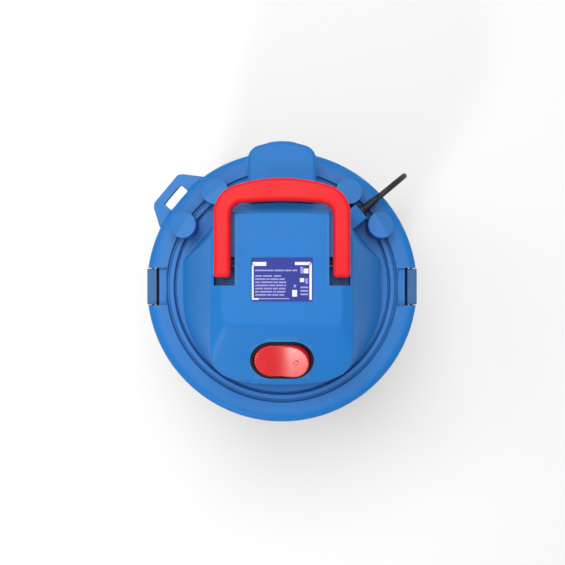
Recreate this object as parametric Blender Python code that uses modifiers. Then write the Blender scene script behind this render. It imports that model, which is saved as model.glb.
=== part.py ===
"""Shop vacuum: a steel drum on a castor base, with a round motor head clipped on top.

Metres, +Z up. The origin is on the drum's axis, at floor level. +Y is the rear, with the blower hood and the
cord, and -Y is the front, with the switch and the suction inlet.
"""

import math

import bmesh
import bpy
from mathutils import Matrix, Vector

# Driving dimensions.
GAP = 0.0003
RIM_R = 0.170
DRUM_R = 0.156
DRUM_WALL = 0.0012
DRUM_FLOOR_Z = 0.0785
DRUM_TOP_Z = 0.318
DRUM_CORNER_R = 0.020
BEAD_R = 0.162
BASE_Z = 0.055
BASE_R = 0.164
DECK_Z = 0.3355
RIM_DECK_Z = 0.3365
WELL_R = 0.075
WELL_FLOOR_Z = 0.300
INTAKE_R = 0.014
PLATEAU_Z = 0.425
SLOPE_TOP_Y = -0.043
SLOPE_FOOT = (-0.1135, 0.391)
HOOD_END_Y = 0.1728
HOOD_HALF = 0.041
HOOD_TOP_Z = 0.380
PORT_Z = 0.357
PORT_R = 0.0175
INLET_Z = 0.235
INLET_BORE_R = 0.018
INLET_END_Y = -0.1728
POST_R = 0.016
POST_RING_R = 0.1418
POST_TOP_Z = 0.366
POST_ANGLES = (35, 58)
POST_SLOPE = math.radians(38)
TAB_ANGLE = math.radians(140)
HANDLE_HALF = 0.076
HANDLE_LEG = 0.019
HANDLE_Z = (0.421, 0.437)
HANDLE_PIVOT = Vector((0, 0.0235, 0.418))
LEG_END_Y = 0.0105
SLOPE_ANGLE = math.atan2(PLATEAU_Z - SLOPE_FOOT[1], SLOPE_TOP_Y - SLOPE_FOOT[0])
SWITCH_CENTRE = Vector((0, -0.0846, 0.4049))
ROCKER_SIZE = (0.0645, 0.0406)
ROCKER_TILT = math.radians(5)
ROCKER_PIVOT_Z = -0.0018
ROCKER_TOP_SCALE = 0.970
BEZEL_SIZE = (0.073, 0.049)
LATCH_HALF = 0.0225
LATCH_PIN = (0.1625, 0.3275)
CASTOR_XY = 0.088
CASTOR_TRAIL = 0.014
WHEEL_R = 0.021
CORD_R = 0.0035
CORD_ANGLE = math.radians(39.7)
CORD_DIR = Vector((math.cos(CORD_ANGLE), math.sin(CORD_ANGLE), 0))
GLAND_POINT = Vector((0.101, 0.0955, 0.353))
COIL_CENTRE = Vector((0, 0.165, 0))
COIL_R = 0.042
COIL_SECTION = (0.0288, 0.036)
COIL_LIFT = 0.0018
PLUG_TIP = Vector((-0.0700, 0.1955, 0.0082))
PLUG_ANGLE = math.radians(200)

# They stand a flat outline up: SIDEWAYS takes its x and y to Y and Z, and UPRIGHT takes them to X and Z.
SIDEWAYS = Matrix(((0, 0, 1, 0), (1, 0, 0, 0), (0, 1, 0, 0), (0, 0, 0, 1)))
UPRIGHT = Matrix(((1, 0, 0, 0), (0, 0, -1, 0), (0, 1, 0, 0), (0, 0, 0, 1)))

# Colours as (red, green, blue), roughness, metallic.
BLUE = ((0.045, 0.16, 0.46), 0.38, 0.0)
RED = ((0.80, 0.03, 0.04), 0.30, 0.0)
BLACK = ((0.02, 0.02, 0.022), 0.55, 0.0)
GREY_BLUE = ((0.07, 0.17, 0.36), 0.45, 0.0)
STEEL = ((0.62, 0.62, 0.60), 0.28, 1.0)
BRASS = ((0.70, 0.50, 0.22), 0.35, 1.0)
COPPER = ((0.72, 0.36, 0.20), 0.35, 1.0)
WHITE = ((0.75, 0.75, 0.74), 0.45, 0.0)
LABEL = ((0.10, 0.11, 0.42), 0.40, 0.0)
FOAM = ((0.05, 0.05, 0.055), 0.95, 0.0)
RUBBER = ((0.03, 0.03, 0.03), 0.80, 0.0)

for startup_object in list(bpy.data.objects):
    bpy.data.objects.remove(startup_object, do_unlink=True)

VACUUM = bpy.data.collections.new("shop_vacuum")
CUTTERS = bpy.data.collections.new("cutters")
CUTTERS.hide_render = True
bpy.context.scene.collection.children.link(VACUUM)
bpy.context.scene.collection.children.link(CUTTERS)


# Helpers.
def finish_for(name, finish):
    colour, roughness, metallic = finish
    made = bpy.data.materials.new(name + "_finish")
    made.use_nodes = True
    shader = made.node_tree.nodes["Principled BSDF"]
    shader.inputs["Base Color"].default_value = (*colour, 1)
    shader.inputs["Roughness"].default_value = roughness
    shader.inputs["Metallic"].default_value = metallic
    return made


def add(name, mesh, finish=None, place=None):
    """A part of the vacuum when it has a finish, and a cutter or a tool body when it has none."""
    made = bpy.data.objects.new(name, mesh)
    if place is not None:
        made.matrix_world = place
    if finish is None:
        CUTTERS.objects.link(made)
        made.hide_render = True
        made.display_type = "WIRE"
    else:
        VACUUM.objects.link(made)
        made.data.materials.append(finish_for(name, finish))
        mesh.shade_smooth()
        mesh.set_sharp_from_angle(angle=math.radians(35))
    return made


def mesh_from(name, bm):
    bmesh.ops.recalc_face_normals(bm, faces=bm.faces)
    mesh = bpy.data.meshes.new(name)
    bm.to_mesh(mesh)
    bm.free()
    return mesh


def box(name, low, high, finish=None, place=None):
    bm = bmesh.new()
    size = Vector(high) - Vector(low)
    middle = (Vector(high) + Vector(low)) / 2
    bmesh.ops.create_cube(bm, size=1, matrix=Matrix.Translation(middle) @ Matrix.Diagonal((*size, 1)))
    return add(name, mesh_from(name, bm), finish, place)


def along(direction, start=(0, 0, 0)):
    """A matrix that takes +Z to the direction, and the origin to the start."""
    turn = Vector((0, 0, 1)).rotation_difference(Vector(direction))
    return Matrix.Translation(Vector(start)) @ turn.to_matrix().to_4x4()


def rod(name, radius, start, end, finish=None, sides=24, radius_end=None):
    start, end = Vector(start), Vector(end)
    bm = bmesh.new()
    bmesh.ops.create_cone(
        bm,
        cap_ends=True,
        segments=sides,
        radius1=radius,
        radius2=radius if radius_end is None else radius_end,
        depth=(end - start).length,
        matrix=along(end - start, (start + end) / 2),
    )
    return add(name, mesh_from(name, bm), finish)


def turned(name, profile, finish=None, steps=48, place=None):
    """A profile of (radius, height) turned about Z, down its outer side. Off the axis it closes on itself."""
    points = [(radius, 0, height) for radius, height in profile]
    edges = [(i, i + 1) for i in range(len(points) - 1)]
    if profile[0][0] > 0 and profile[-1][0] > 0:
        edges.append((len(points) - 1, 0))
    mesh = bpy.data.meshes.new(name)
    mesh.from_pydata(points, edges, [])
    made = add(name, mesh, finish, place)
    screw = made.modifiers.new("turn", "SCREW")
    screw.steps = steps
    screw.render_steps = steps
    screw.use_merge_vertices = True
    screw.merge_threshold = 0.00002
    screw.use_smooth_shade = True
    return made


def arc(centre, radius, start, end, count):
    """Points on an arc, in degrees, ends included."""
    spread = [math.radians(start + (end - start) * i / count) for i in range(count + 1)]
    return [(centre[0] + radius * math.cos(a), centre[1] + radius * math.sin(a)) for a in spread]


def stadium(length, width, count=8):
    side = (length - width) / 2
    right = arc((side, 0), width / 2, -90, 90, count)
    left = arc((-side, 0), width / 2, 90, 270, count)
    return right + left


def outline_plate(name, outline, low, high, finish=None, place=None):
    """A flat outline in XY, given thickness from low to high."""
    curve = bpy.data.curves.new(name, "CURVE")
    curve.dimensions = "2D"
    curve.fill_mode = "BOTH"
    curve.extrude = (high - low) / 2
    spline = curve.splines.new("POLY")
    spline.points.add(len(outline) - 1)
    for point, (x, y) in zip(spline.points, outline):
        point.co = (x, y, 0, 1)
    spline.use_cyclic_u = True
    guide = bpy.data.objects.new(name + "_outline", curve)
    CUTTERS.objects.link(guide)
    bpy.context.view_layer.update()
    mesh = bpy.data.meshes.new_from_object(guide.evaluated_get(bpy.context.evaluated_depsgraph_get()))
    bpy.data.objects.remove(guide)
    bm = bmesh.new()
    bm.from_mesh(mesh)
    bmesh.ops.remove_doubles(bm, verts=bm.verts, dist=0.00001)
    bmesh.ops.dissolve_limit(bm, angle_limit=0.001, verts=bm.verts, edges=bm.edges)
    bmesh.ops.translate(bm, verts=bm.verts, vec=(0, 0, (high + low) / 2))
    bpy.data.meshes.remove(mesh)
    return add(name, mesh_from(name, bm), finish, place)


def loft(name, sections, finish=None):
    """A closed skin through loops of points of the same count, with a flat cap at each end."""
    bm = bmesh.new()
    loops = [[bm.verts.new(point) for point in section] for section in sections]
    count = len(loops[0])
    for lower, upper in zip(loops, loops[1:]):
        for i in range(count):
            j = (i + 1) % count
            bm.faces.new((lower[i], lower[j], upper[j], upper[i]))
    bm.faces.new(reversed(loops[0]))
    bm.faces.new(loops[-1])
    return add(name, mesh_from(name, bm), finish)


def tube(name, points, radius, finish):
    curve = bpy.data.curves.new(name, "CURVE")
    curve.dimensions = "3D"
    curve.bevel_depth = radius
    curve.bevel_resolution = 2
    curve.use_fill_caps = True
    spline = curve.splines.new("POLY")
    spline.points.add(len(points) - 1)
    for point, place in zip(spline.points, points):
        point.co = (*place, 1)
    made = bpy.data.objects.new(name, curve)
    VACUUM.objects.link(made)
    curve.materials.append(finish_for(name, finish))
    return made


def join(part, operation, *tools):
    """Cuts the tools from the part, or unites them with it, one Boolean each."""
    for tool in tools:
        boolean = part.modifiers.new(tool.name, "BOOLEAN")
        boolean.operation = operation
        boolean.object = tool
        boolean.solver = "EXACT"
    return part


def rounded(part, width, segments=2, angle=30):
    bevel = part.modifiers.new("rounded", "BEVEL")
    bevel.width = width
    bevel.segments = segments
    bevel.limit_method = "ANGLE"
    bevel.angle_limit = math.radians(angle)
    return part


def smooth_route(points, step):
    """Points about a step apart on a smooth curve through the given ones."""
    points = [Vector(point) for point in points]
    ends = [2 * points[0] - points[1]] + points + [2 * points[-1] - points[-2]]
    route = [points[0]]
    for before, start, end, after in zip(ends, ends[1:], ends[2:], ends[3:]):
        count = max(1, round((end - start).length / step))
        for i in range(1, count + 1):
            t = i / count
            route.append(
                0.5
                * (
                    2 * start
                    + (end - before) * t
                    + (2 * before - 5 * start + 4 * end - after) * t**2
                    + (3 * start - before - 3 * end + after) * t**3
                )
            )
    return route


# Drum and base.
def make_drum():
    floor_top = DRUM_FLOOR_Z + DRUM_WALL
    corner = (DRUM_R - DRUM_CORNER_R, DRUM_FLOOR_Z + DRUM_CORNER_R)
    inner = arc(corner, DRUM_CORNER_R - DRUM_WALL, -90, 0, 3)
    outer = arc(corner, DRUM_CORNER_R, 0, -90, 3)
    bead_z = DRUM_TOP_Z - 0.0035
    bead = arc((BEAD_R - 0.0035, bead_z), 0.0035, 90, -90, 3)
    rib = [(DRUM_R, 0.290), (DRUM_R + 0.0015, 0.287), (DRUM_R, 0.284)]
    profile = [(0, floor_top)] + inner + [(DRUM_R - DRUM_WALL, DRUM_TOP_Z)] + bead
    profile += [(DRUM_R, DRUM_TOP_Z - 0.007)] + rib + outer + [(0, DRUM_FLOOR_Z)]
    drum = turned("tank_shell", profile, STEEL, 48)
    hole = rod("inlet_hole", 0.0235, (0, -0.130, INLET_Z), (0, -0.180, INLET_Z))
    join(drum, "DIFFERENCE", hole)


def castor_places():
    for row, y in (("front", -CASTOR_XY), ("rear", CASTOR_XY)):
        for side, x in (("left", -CASTOR_XY), ("right", CASTOR_XY)):
            yield f"{row}_{side}", x, y


def make_base():
    plate_top = BASE_Z + 0.003
    skirt = DRUM_R + 0.0005
    rib_r, rib_top = 0.100, DRUM_FLOOR_Z - GAP
    profile = [
        (0, plate_top),
        (rib_r, plate_top),
        (rib_r, rib_top),
        (rib_r + 0.003, rib_top),
        (rib_r + 0.003, plate_top),
        (skirt - 0.003, plate_top),
        (skirt, plate_top + 0.003),
        (skirt, 0.118),
        (skirt + 0.0033, 0.118),
        (BASE_R, 0.108),
        (BASE_R, BASE_Z + 0.006),
        (BASE_R - 0.005, BASE_Z),
        (0, BASE_Z),
    ]
    base = turned("castor_base", profile, BLACK, 40)
    bosses, sockets = [], []
    for place, x, y in castor_places():
        bosses.append(rod("boss_" + place, 0.009, (x, y, BASE_Z + 0.001), (x, y, 0.0755), sides=12))
        sockets.append(rod("socket_" + place, 0.0045, (x, y, BASE_Z - 0.01), (x, y, 0.0732), sides=10))
    join(base, "UNION", *bosses)
    join(base, "DIFFERENCE", *sockets)


def make_castor(place, x, y):
    axle = Vector((x, y + CASTOR_TRAIL, WHEEL_R))
    cheek = 0.0125
    side = [(-0.012, 0.050), (-0.012, 0.044), (CASTOR_TRAIL - 0.0078, WHEEL_R)]
    side += arc((CASTOR_TRAIL, WHEEL_R), 0.0078, 200, 340, 4)
    side += [(CASTOR_TRAIL + 0.0078, WHEEL_R), (0.0235, 0.044), (0.0235, 0.050)]
    stand = Matrix.Translation((x, y, 0)) @ SIDEWAYS
    fork = outline_plate("castor_fork_" + place, side, -cheek, cheek, BLACK, stand)
    gap = box("fork_gap_" + place, (x - 0.0098, y - 0.03, -0.01), (x + 0.0098, y + 0.05, 0.0455))
    reach = Vector((0.03, 0, 0))
    hole = rod("axle_hole_" + place, 0.0028, axle - reach, axle + reach, sides=8)
    stem = turned(
        "stem_" + place,
        [(0, 0.0725), (0.0042, 0.0725), (0.0042, 0.0545), (0.0105, 0.0545), (0.0105, 0.0480), (0, 0.0480)],
        None,
        12,
        Matrix.Translation((x, y, 0)),
    )
    join(fork, "DIFFERENCE", gap, hole)
    join(fork, "UNION", stem)
    turned(
        "castor_axle_" + place,
        [
            (0, 0.0148),
            (0.004, 0.0148),
            (0.004, 0.0128),
            (0.0025, 0.0128),
            (0.0025, -0.0128),
            (0.004, -0.0128),
            (0.004, -0.0148),
            (0, -0.0148),
        ],
        STEEL,
        8,
        along((1, 0, 0), axle),
    )
    face = [(0.0030, 0.0085), (0.0070, 0.0085), (0.0085, 0.0062), (0.0185, 0.0080), (WHEEL_R, 0.0050)]
    profile = face + [(radius, -height) for radius, height in reversed(face)]
    turned("castor_wheel_" + place, profile, BLACK, 20, along((1, 0, 0), axle))


def make_inlet():
    flange_y, back_y, spigot_y = -0.1665, -0.145, -0.1385
    # Heights run along -Y, from the drum's axis outwards.
    outside = [
        (0.0235, -INLET_END_Y),
        (0.0260, -INLET_END_Y - 0.002),
        (0.0260, -flange_y),
        (0.0330, -flange_y),
        (0.0345, -flange_y - 0.002),
        (0.0345, -back_y),
        (INLET_BORE_R, -back_y),
        (INLET_BORE_R, -INLET_END_Y),
    ]
    place = along((0, -1, 0), (0, 0, INLET_Z))
    inlet = turned("suction_inlet", outside, BLACK, 28, place)
    drum_space = rod("drum_space", DRUM_R + 2 * GAP, (0, 0, 0.15), (0, 0, 0.32), sides=48)
    spigot = turned(
        "inlet_spigot",
        [(0.0230, 0.163), (0.0230, -spigot_y), (INLET_BORE_R, -spigot_y), (INLET_BORE_R, 0.163)],
        None,
        28,
        place,
    )
    join(inlet, "DIFFERENCE", drum_space)
    join(inlet, "UNION", spigot)
    turned(
        "inlet_locknut",
        [(0.0310, 0.1508), (0.0310, 0.1445), (0.0236, 0.1445), (0.0236, 0.1508)],
        BLACK,
        28,
        place,
    )
    scoop = rod("inlet_deflector", 0.0300, (0, -0.1380, INLET_Z), (0, -0.1000, INLET_Z), BLACK, 28)
    hollow = rod("deflector_hollow", 0.0280, (0, -0.1500, INLET_Z), (0, -0.1020, INLET_Z), sides=28)
    below = box("deflector_below", (-0.04, -0.15, INLET_Z - 0.05), (0.04, -0.09, INLET_Z - 0.012))
    join(scoop, "DIFFERENCE", hollow, below)


# Lid.
def post_places():
    for side, sign in (("right", 1), ("left", -1)):
        for number, angle in enumerate(POST_ANGLES, 1):
            turn = sign * math.radians(angle)
            yield f"{side}_{number}", Vector((math.sin(turn), math.cos(turn), 0))


def make_lid():
    profile = [
        (0.1600, RIM_DECK_Z),
        (0.1655, 0.3352),
        (0.1688, 0.3325),
        (RIM_R, 0.3285),
        (RIM_R, 0.3115),
        (0.1685, 0.3085),
        (0.1650, 0.3085),
        (0.1650, 0.3205),
        (0.1500, 0.3205),
        (0.1480, 0.3310),
        (WELL_R + 0.0035, 0.3310),
        (WELL_R + 0.0035, WELL_FLOOR_Z - 0.003),
        (INTAKE_R, WELL_FLOOR_Z - 0.003),
        (INTAKE_R, WELL_FLOOR_Z),
        (WELL_R, WELL_FLOOR_Z),
        (WELL_R, DECK_Z),
        (0.1315, DECK_Z),
        (0.1325, 0.3338),
        (0.1335, 0.3338),
        (0.1352, 0.3385),
        (0.1398, 0.3385),
        (0.1418, 0.3338),
        (0.1432, 0.3338),
        (0.1450, RIM_DECK_Z),
    ]
    lid = turned("lid_shell", profile, BLUE, 56)
    unions = [make_tab()]
    for place, out in post_places():
        foot = out * POST_RING_R
        post = rod("post_" + place, POST_R, foot + Vector((0, 0, 0.3330)), foot + Vector((0, 0, POST_TOP_Z)))
        # The outer half of each post's top slopes down.
        slope = Matrix.Translation(foot + Vector((0, 0, POST_TOP_Z)))
        slope = slope @ Matrix.Rotation(math.atan2(out.y, out.x), 4, "Z")
        slope = slope @ Matrix.Rotation(POST_SLOPE, 4, "Y")
        cut = box("post_slope_" + place, (0, -0.03, 0), (0.04, 0.03, 0.03), None, slope)
        join(post, "DIFFERENCE", cut)
        unions.append(post)
    join(lid, "UNION", *unions)
    cuts = [box("hood_seat", (-0.0415, 0.118, 0.3363), (0.0415, 0.160, 0.350))]
    cuts.append(box("tab_slot", (-0.0065, -0.016, 0.30), (0.0065, 0.016, 0.35), None, tab_place(0.174)))
    for side, sign in (("right", 1), ("left", -1)):
        x, z = sign * LATCH_PIN[0], LATCH_PIN[1]
        cuts.append(rod("latch_bore_" + side, 0.0019, (x, -0.0281, z), (x, 0.0281, z), sides=10))
        reach = sorted((sign * 0.1538, sign * 0.1760))
        notch_half = LATCH_HALF + 0.001
        cuts.append(box("latch_notch_" + side, (reach[0], -notch_half, 0.30), (reach[1], notch_half, 0.345)))
        reach = sorted((sign * 0.1440, sign * 0.1560))
        recess_half = notch_half - 0.0006
        low, high = (reach[0], -recess_half, 0.3330), (reach[1], recess_half, 0.346)
        cuts.append(box("latch_recess_" + side, low, high))
    for place, x, y in screw_places():
        cuts.append(rod("lid_screw_hole_" + place, 0.0019, (x, y, 0.32), (x, y, 0.345), sides=12))
    join(lid, "DIFFERENCE", *cuts)


def tab_place(radius):
    """A matrix whose +X points out of the lid at the tab."""
    out = Vector((math.cos(TAB_ANGLE), math.sin(TAB_ANGLE), 0))
    return Matrix.Translation(out * radius) @ Matrix.Rotation(TAB_ANGLE, 4, "Z")


def make_tab():
    tip, root, tip_r, root_r = 0.027, 0.042, 0.191, 0.152
    outline = [(root_r, -root), (0.1655, -root), (tip_r - 0.004, -tip - 0.001), (tip_r, -tip + 0.004)]
    outline += [(x, -y) for x, y in reversed(outline)]
    tab = outline_plate("tab", outline, 0.3215, 0.3305, None, Matrix.Rotation(TAB_ANGLE, 4, "Z"))
    return rounded(tab, 0.0015, 1)


def screw_places():
    for side, sign in (("right", 1), ("left", -1)):
        yield "front_" + side, sign * 0.1095, -0.045
        yield "rear_" + side, sign * 0.1010, 0.045


def make_gaskets_and_screws():
    turned(
        "lid_gasket",
        [(0.1618, 0.3202), (0.1618, 0.3183), (0.1520, 0.3183), (0.1520, 0.3202)],
        RUBBER,
        48,
    )
    for place, x, y in screw_places():
        turned(
            "housing_screw_" + place,
            [
                (0, 0.3470),
                (0.0015, 0.3470),
                (0.0015, 0.3307),
                (0.0038, 0.3307),
                (0.0030, 0.3282),
                (0, 0.3282),
            ],
            STEEL,
            10,
            Matrix.Translation((x, y, 0)),
        )


# Motor housing.
def mirrored(half):
    """A loop from the points of its right half, which starts and ends on the middle line."""
    return half + [(-x, y, z) for x, y, z in reversed(half[1:-1])]


def level(points, height=None):
    return mirrored([(p[0], p[1], p[2] if height is None else height) for p in points])


def inset(points, amount):
    """Points moved towards the middle of the housing."""
    moved = []
    for x, y, z in points:
        middle_y = max(min(y, 0.03), -0.04)
        reach = math.hypot(x, y - middle_y)
        keep = (reach - amount) / reach if reach > amount else 1
        moved.append((x * keep, middle_y + (y - middle_y) * keep, z))
    return moved


def make_housing():
    foot = [
        (0, -0.1240, 0),
        (0.0300, -0.1222, 0),
        (0.0580, -0.1165, 0),
        (0.0810, -0.1030, 0),
        (0.0965, -0.0870, 0),
        (0.1090, -0.0690, 0),
        (0.1180, -0.0480, 0),
        (0.1225, -0.0240, 0),
        (0.1230, 0.0050, 0),
        (0.1230, 0.0320, 0),
        (0.0920, 0.0680, 0),
        (0.0740, 0.0930, 0),
        (0.0630, 0.0995, 0),
        (0, 0.1000, 0),
    ]
    shoulder = [
        (0, SLOPE_FOOT[0], SLOPE_FOOT[1]),
        (0.0280, -0.1127, 0.3914),
        (0.0530, -0.1090, 0.3933),
        (0.0720, -0.1000, 0.3978),
        (0.0800, -0.0865, 0.4035),
        (0.0815, -0.0720, 0.4085),
        (0.0815, -0.0560, 0.4140),
        (0.0810, -0.0350, 0.4170),
        (0.0800, 0.0050, 0.4175),
        (0.0800, 0.0560, 0.4175),
        (0.0760, 0.0700, 0.4160),
        (0.0680, 0.0870, 0.4080),
        (0.0600, 0.0950, 0.4020),
        (0, 0.0980, 0.4000),
    ]
    plateau = [
        (0, SLOPE_TOP_Y - 0.0020, PLATEAU_Z),
        (0.0230, SLOPE_TOP_Y - 0.0017, PLATEAU_Z),
        (0.0430, SLOPE_TOP_Y - 0.0008, PLATEAU_Z),
        (0.0580, SLOPE_TOP_Y, PLATEAU_Z),
        (0.0630, SLOPE_TOP_Y + 0.0005, PLATEAU_Z),
        (0.0660, SLOPE_TOP_Y + 0.0030, PLATEAU_Z),
        (0.0678, SLOPE_TOP_Y + 0.0080, PLATEAU_Z),
        (0.0680, -0.0250, PLATEAU_Z),
        (0.0680, 0.0050, PLATEAU_Z),
        (0.0680, 0.0500, PLATEAU_Z),
        (0.0660, 0.0640, PLATEAU_Z),
        (0.0600, 0.0770, PLATEAU_Z),
        (0.0520, 0.0830, PLATEAU_Z),
        (0, 0.0840, PLATEAU_Z),
    ]
    foot_z, wall_z, ceiling_z = 0.3360, 0.349, 0.400
    housing = loft(
        "motor_housing",
        [level(foot, foot_z), level(inset(foot, 0.0015), wall_z), level(shoulder), level(plateau)],
        BLUE,
    )
    rounded(housing, 0.0022, 2, 16)
    inner_shoulder = [
        (x * 1.055, y, min(z - 0.005, ceiling_z)) if z > ceiling_z + 0.004 else (x, y, z - 0.004)
        for x, y, z in inset(shoulder, 0.0035)
    ]
    inner_top = [(x, y, ceiling_z + 0.0005) for x, y, z in inset(plateau, 0.0050)]
    hollow = loft(
        "housing_hollow",
        [
            level(inset(foot, 0.0035), foot_z - 0.01),
            level(inset(foot, 0.0045), wall_z),
            level(inner_shoulder),
            level(inner_top),
        ],
    )
    front_side = [
        (-0.1040, 0.370),
        (-0.1040, 0.3905),
        (SLOPE_TOP_Y - 0.001, 0.4205),
        (-0.004, 0.4205),
        (-0.004, 0.370),
    ]
    front_hollow = outline_plate("front_hollow", front_side, -0.060, 0.060, None, SIDEWAYS)
    middle_hollow = box("middle_hollow", (-0.043, -0.010, 0.390), (0.043, 0.076, 0.4205))
    join(housing, "DIFFERENCE", hollow, front_hollow, middle_hollow)
    bosses = []
    for place, x, y in screw_places():
        bosses.append(rod("screw_boss_" + place, 0.006, (x, y, foot_z), (x, y, 0.354)))
    boss_place = Matrix.Translation(GLAND_POINT) @ Matrix.Rotation(CORD_ANGLE, 4, "Z")
    low, high = (-0.036, -0.011, foot_z - GLAND_POINT.z), (-0.0065, 0.011, 0.013)
    gland_boss = box("gland_boss", low, high, None, boss_place)
    join(housing, "UNION", *bosses, rounded(gland_boss, 0.002, 2))
    cuts = []
    for place, x, y in screw_places():
        cuts.append(rod("boss_bore_" + place, 0.0018, (x, y, 0.32), (x, y, 0.349), sides=12))
    cuts.append(rod("gland_bore", 0.0063, GLAND_POINT - CORD_DIR * 0.050, GLAND_POINT, sides=20))
    cuts.append(rod("port_hole", 0.016, (0, 0.080, PORT_Z), (0, 0.110, PORT_Z)))
    cuts.append(
        outline_plate(
            "switch_opening",
            stadium(BEZEL_SIZE[0] + 2 * GAP, BEZEL_SIZE[1] + 2 * GAP),
            -0.040,
            0.020,
            None,
            switch_place(),
        )
    )
    pocket_in, pocket_out, pocket_end, pocket_rear = 0.053, 0.0772, 0.0015, 0.034
    for side, sign in (("right", 1), ("left", -1)):
        x = sorted((sign * pocket_in, sign * pocket_out))
        cuts.append(box("leg_pocket_" + side, (x[0], pocket_end, 0.4040), (x[1], pocket_rear, 0.440)))
        x = sorted((sign * pocket_in, sign * 0.100))
        cuts.append(box("leg_seat_" + side, (x[0], pocket_rear - 0.002, 0.4195), (x[1], 0.130, 0.440)))
        pivot = HANDLE_PIVOT
        start, end = Vector((sign * 0.0475, pivot.y, pivot.z)), Vector((sign * 0.060, pivot.y, pivot.z))
        cuts.append(rod("pivot_bore_" + side, 0.0033, start, end, sides=16))
    join(housing, "DIFFERENCE", *cuts)


def make_hood():
    corner_r, turn = 0.018, 72
    end_x = HOOD_HALF - corner_r + corner_r * math.cos(math.radians(turn))
    bow_r = end_x / math.cos(math.radians(turn))
    rise = bow_r * (1 - math.sin(math.radians(turn)))
    corner_y = HOOD_END_Y - rise - corner_r * math.sin(math.radians(turn))
    right = arc((HOOD_HALF - corner_r, corner_y), corner_r, 0, turn, 5)
    right += arc((0, HOOD_END_Y - bow_r), bow_r, turn, 90, 3)[1:]
    left = [(-x, y) for x, y in reversed(right[:-1])]
    outline = [(HOOD_HALF, 0.1012)] + right + left + [(-HOOD_HALF, 0.1012)]
    hood = outline_plate("exhaust_hood", outline, 0.3368, HOOD_TOP_Z, BLUE)
    rounded(hood, 0.005, 3, 40)
    port = rod("port_bore", PORT_R, (0, 0.090, PORT_Z), (0, 0.190, PORT_Z), sides=32)
    join(hood, "DIFFERENCE", port)


def make_label():
    x, y, corner = 0.0345, 0.0245, 0.002
    outline = arc((x - corner, y - corner), corner, 0, 90, 3)
    outline += arc((corner - x, y - corner), corner, 90, 180, 3)
    outline += arc((corner - x, corner - y), corner, 180, 270, 3)
    outline += arc((x - corner, corner - y), corner, 270, 360, 3)
    place = Matrix.Translation((0, 0.0085, 0))
    outline_plate("rating_label", outline, PLATEAU_Z + GAP, PLATEAU_Z + 0.0008, LABEL, place)


# Switch. Its own frame lies on the front slope, with +Z out of it.
def switch_place():
    return Matrix.Translation(SWITCH_CENTRE) @ Matrix.Rotation(SLOPE_ANGLE, 4, "X")


def make_switch():
    frame = bpy.data.objects.new("switch_frame", None)
    VACUUM.objects.link(frame)
    frame.matrix_world = switch_place()
    inner = (ROCKER_SIZE[0] + 0.0016, ROCKER_SIZE[1] + 0.0016)
    bezel = outline_plate("switch_bezel", stadium(*BEZEL_SIZE), -0.016, 0.0008, BLACK)
    well = outline_plate("bezel_well", stadium(*inner), -0.014, 0.010)
    half_pin = ROCKER_SIZE[1] / 2 + 0.0022
    bore = rod("bezel_bore", 0.0018, (0, -half_pin, ROCKER_PIVOT_Z), (0, half_pin, ROCKER_PIVOT_Z), sides=12)
    join(bezel, "DIFFERENCE", well, bore)
    pin = half_pin - GAP
    rocker_pin = rod("rocker_pin", 0.0015, (0, -pin, ROCKER_PIVOT_Z), (0, pin, ROCKER_PIVOT_Z), STEEL, 12)
    rocker = outline_plate("switch_rocker", stadium(*ROCKER_SIZE, 10), -0.004, 0.0025, RED)
    bm = bmesh.new()
    bm.from_mesh(rocker.data)
    bmesh.ops.bisect_plane(
        bm, geom=list(bm.verts) + list(bm.edges) + list(bm.faces), plane_co=(0, 0, 0), plane_no=(1, 0, 0)
    )
    for vert in bm.verts:
        if vert.co.z > 0:
            vert.co.z += abs(vert.co.x) * math.tan(ROCKER_TILT)
            vert.co.x *= ROCKER_TOP_SCALE
        vert.co.z -= ROCKER_PIVOT_Z
    bm.to_mesh(rocker.data)
    bm.free()
    rounded(rocker, 0.0010, 2, 40)
    rocker_bore = rod("rocker_bore", 0.0018, (0, -0.03, 0), (0, 0.03, 0), sides=12)
    join(rocker, "DIFFERENCE", rocker_bore)
    for piece in (bezel, well, bore, rocker_pin):
        piece.parent = frame
    for piece in (rocker, rocker_bore):
        piece.parent = frame
        piece.location = (0, 0, ROCKER_PIVOT_Z)
        piece.rotation_euler = (0, -ROCKER_TILT, 0)


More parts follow.
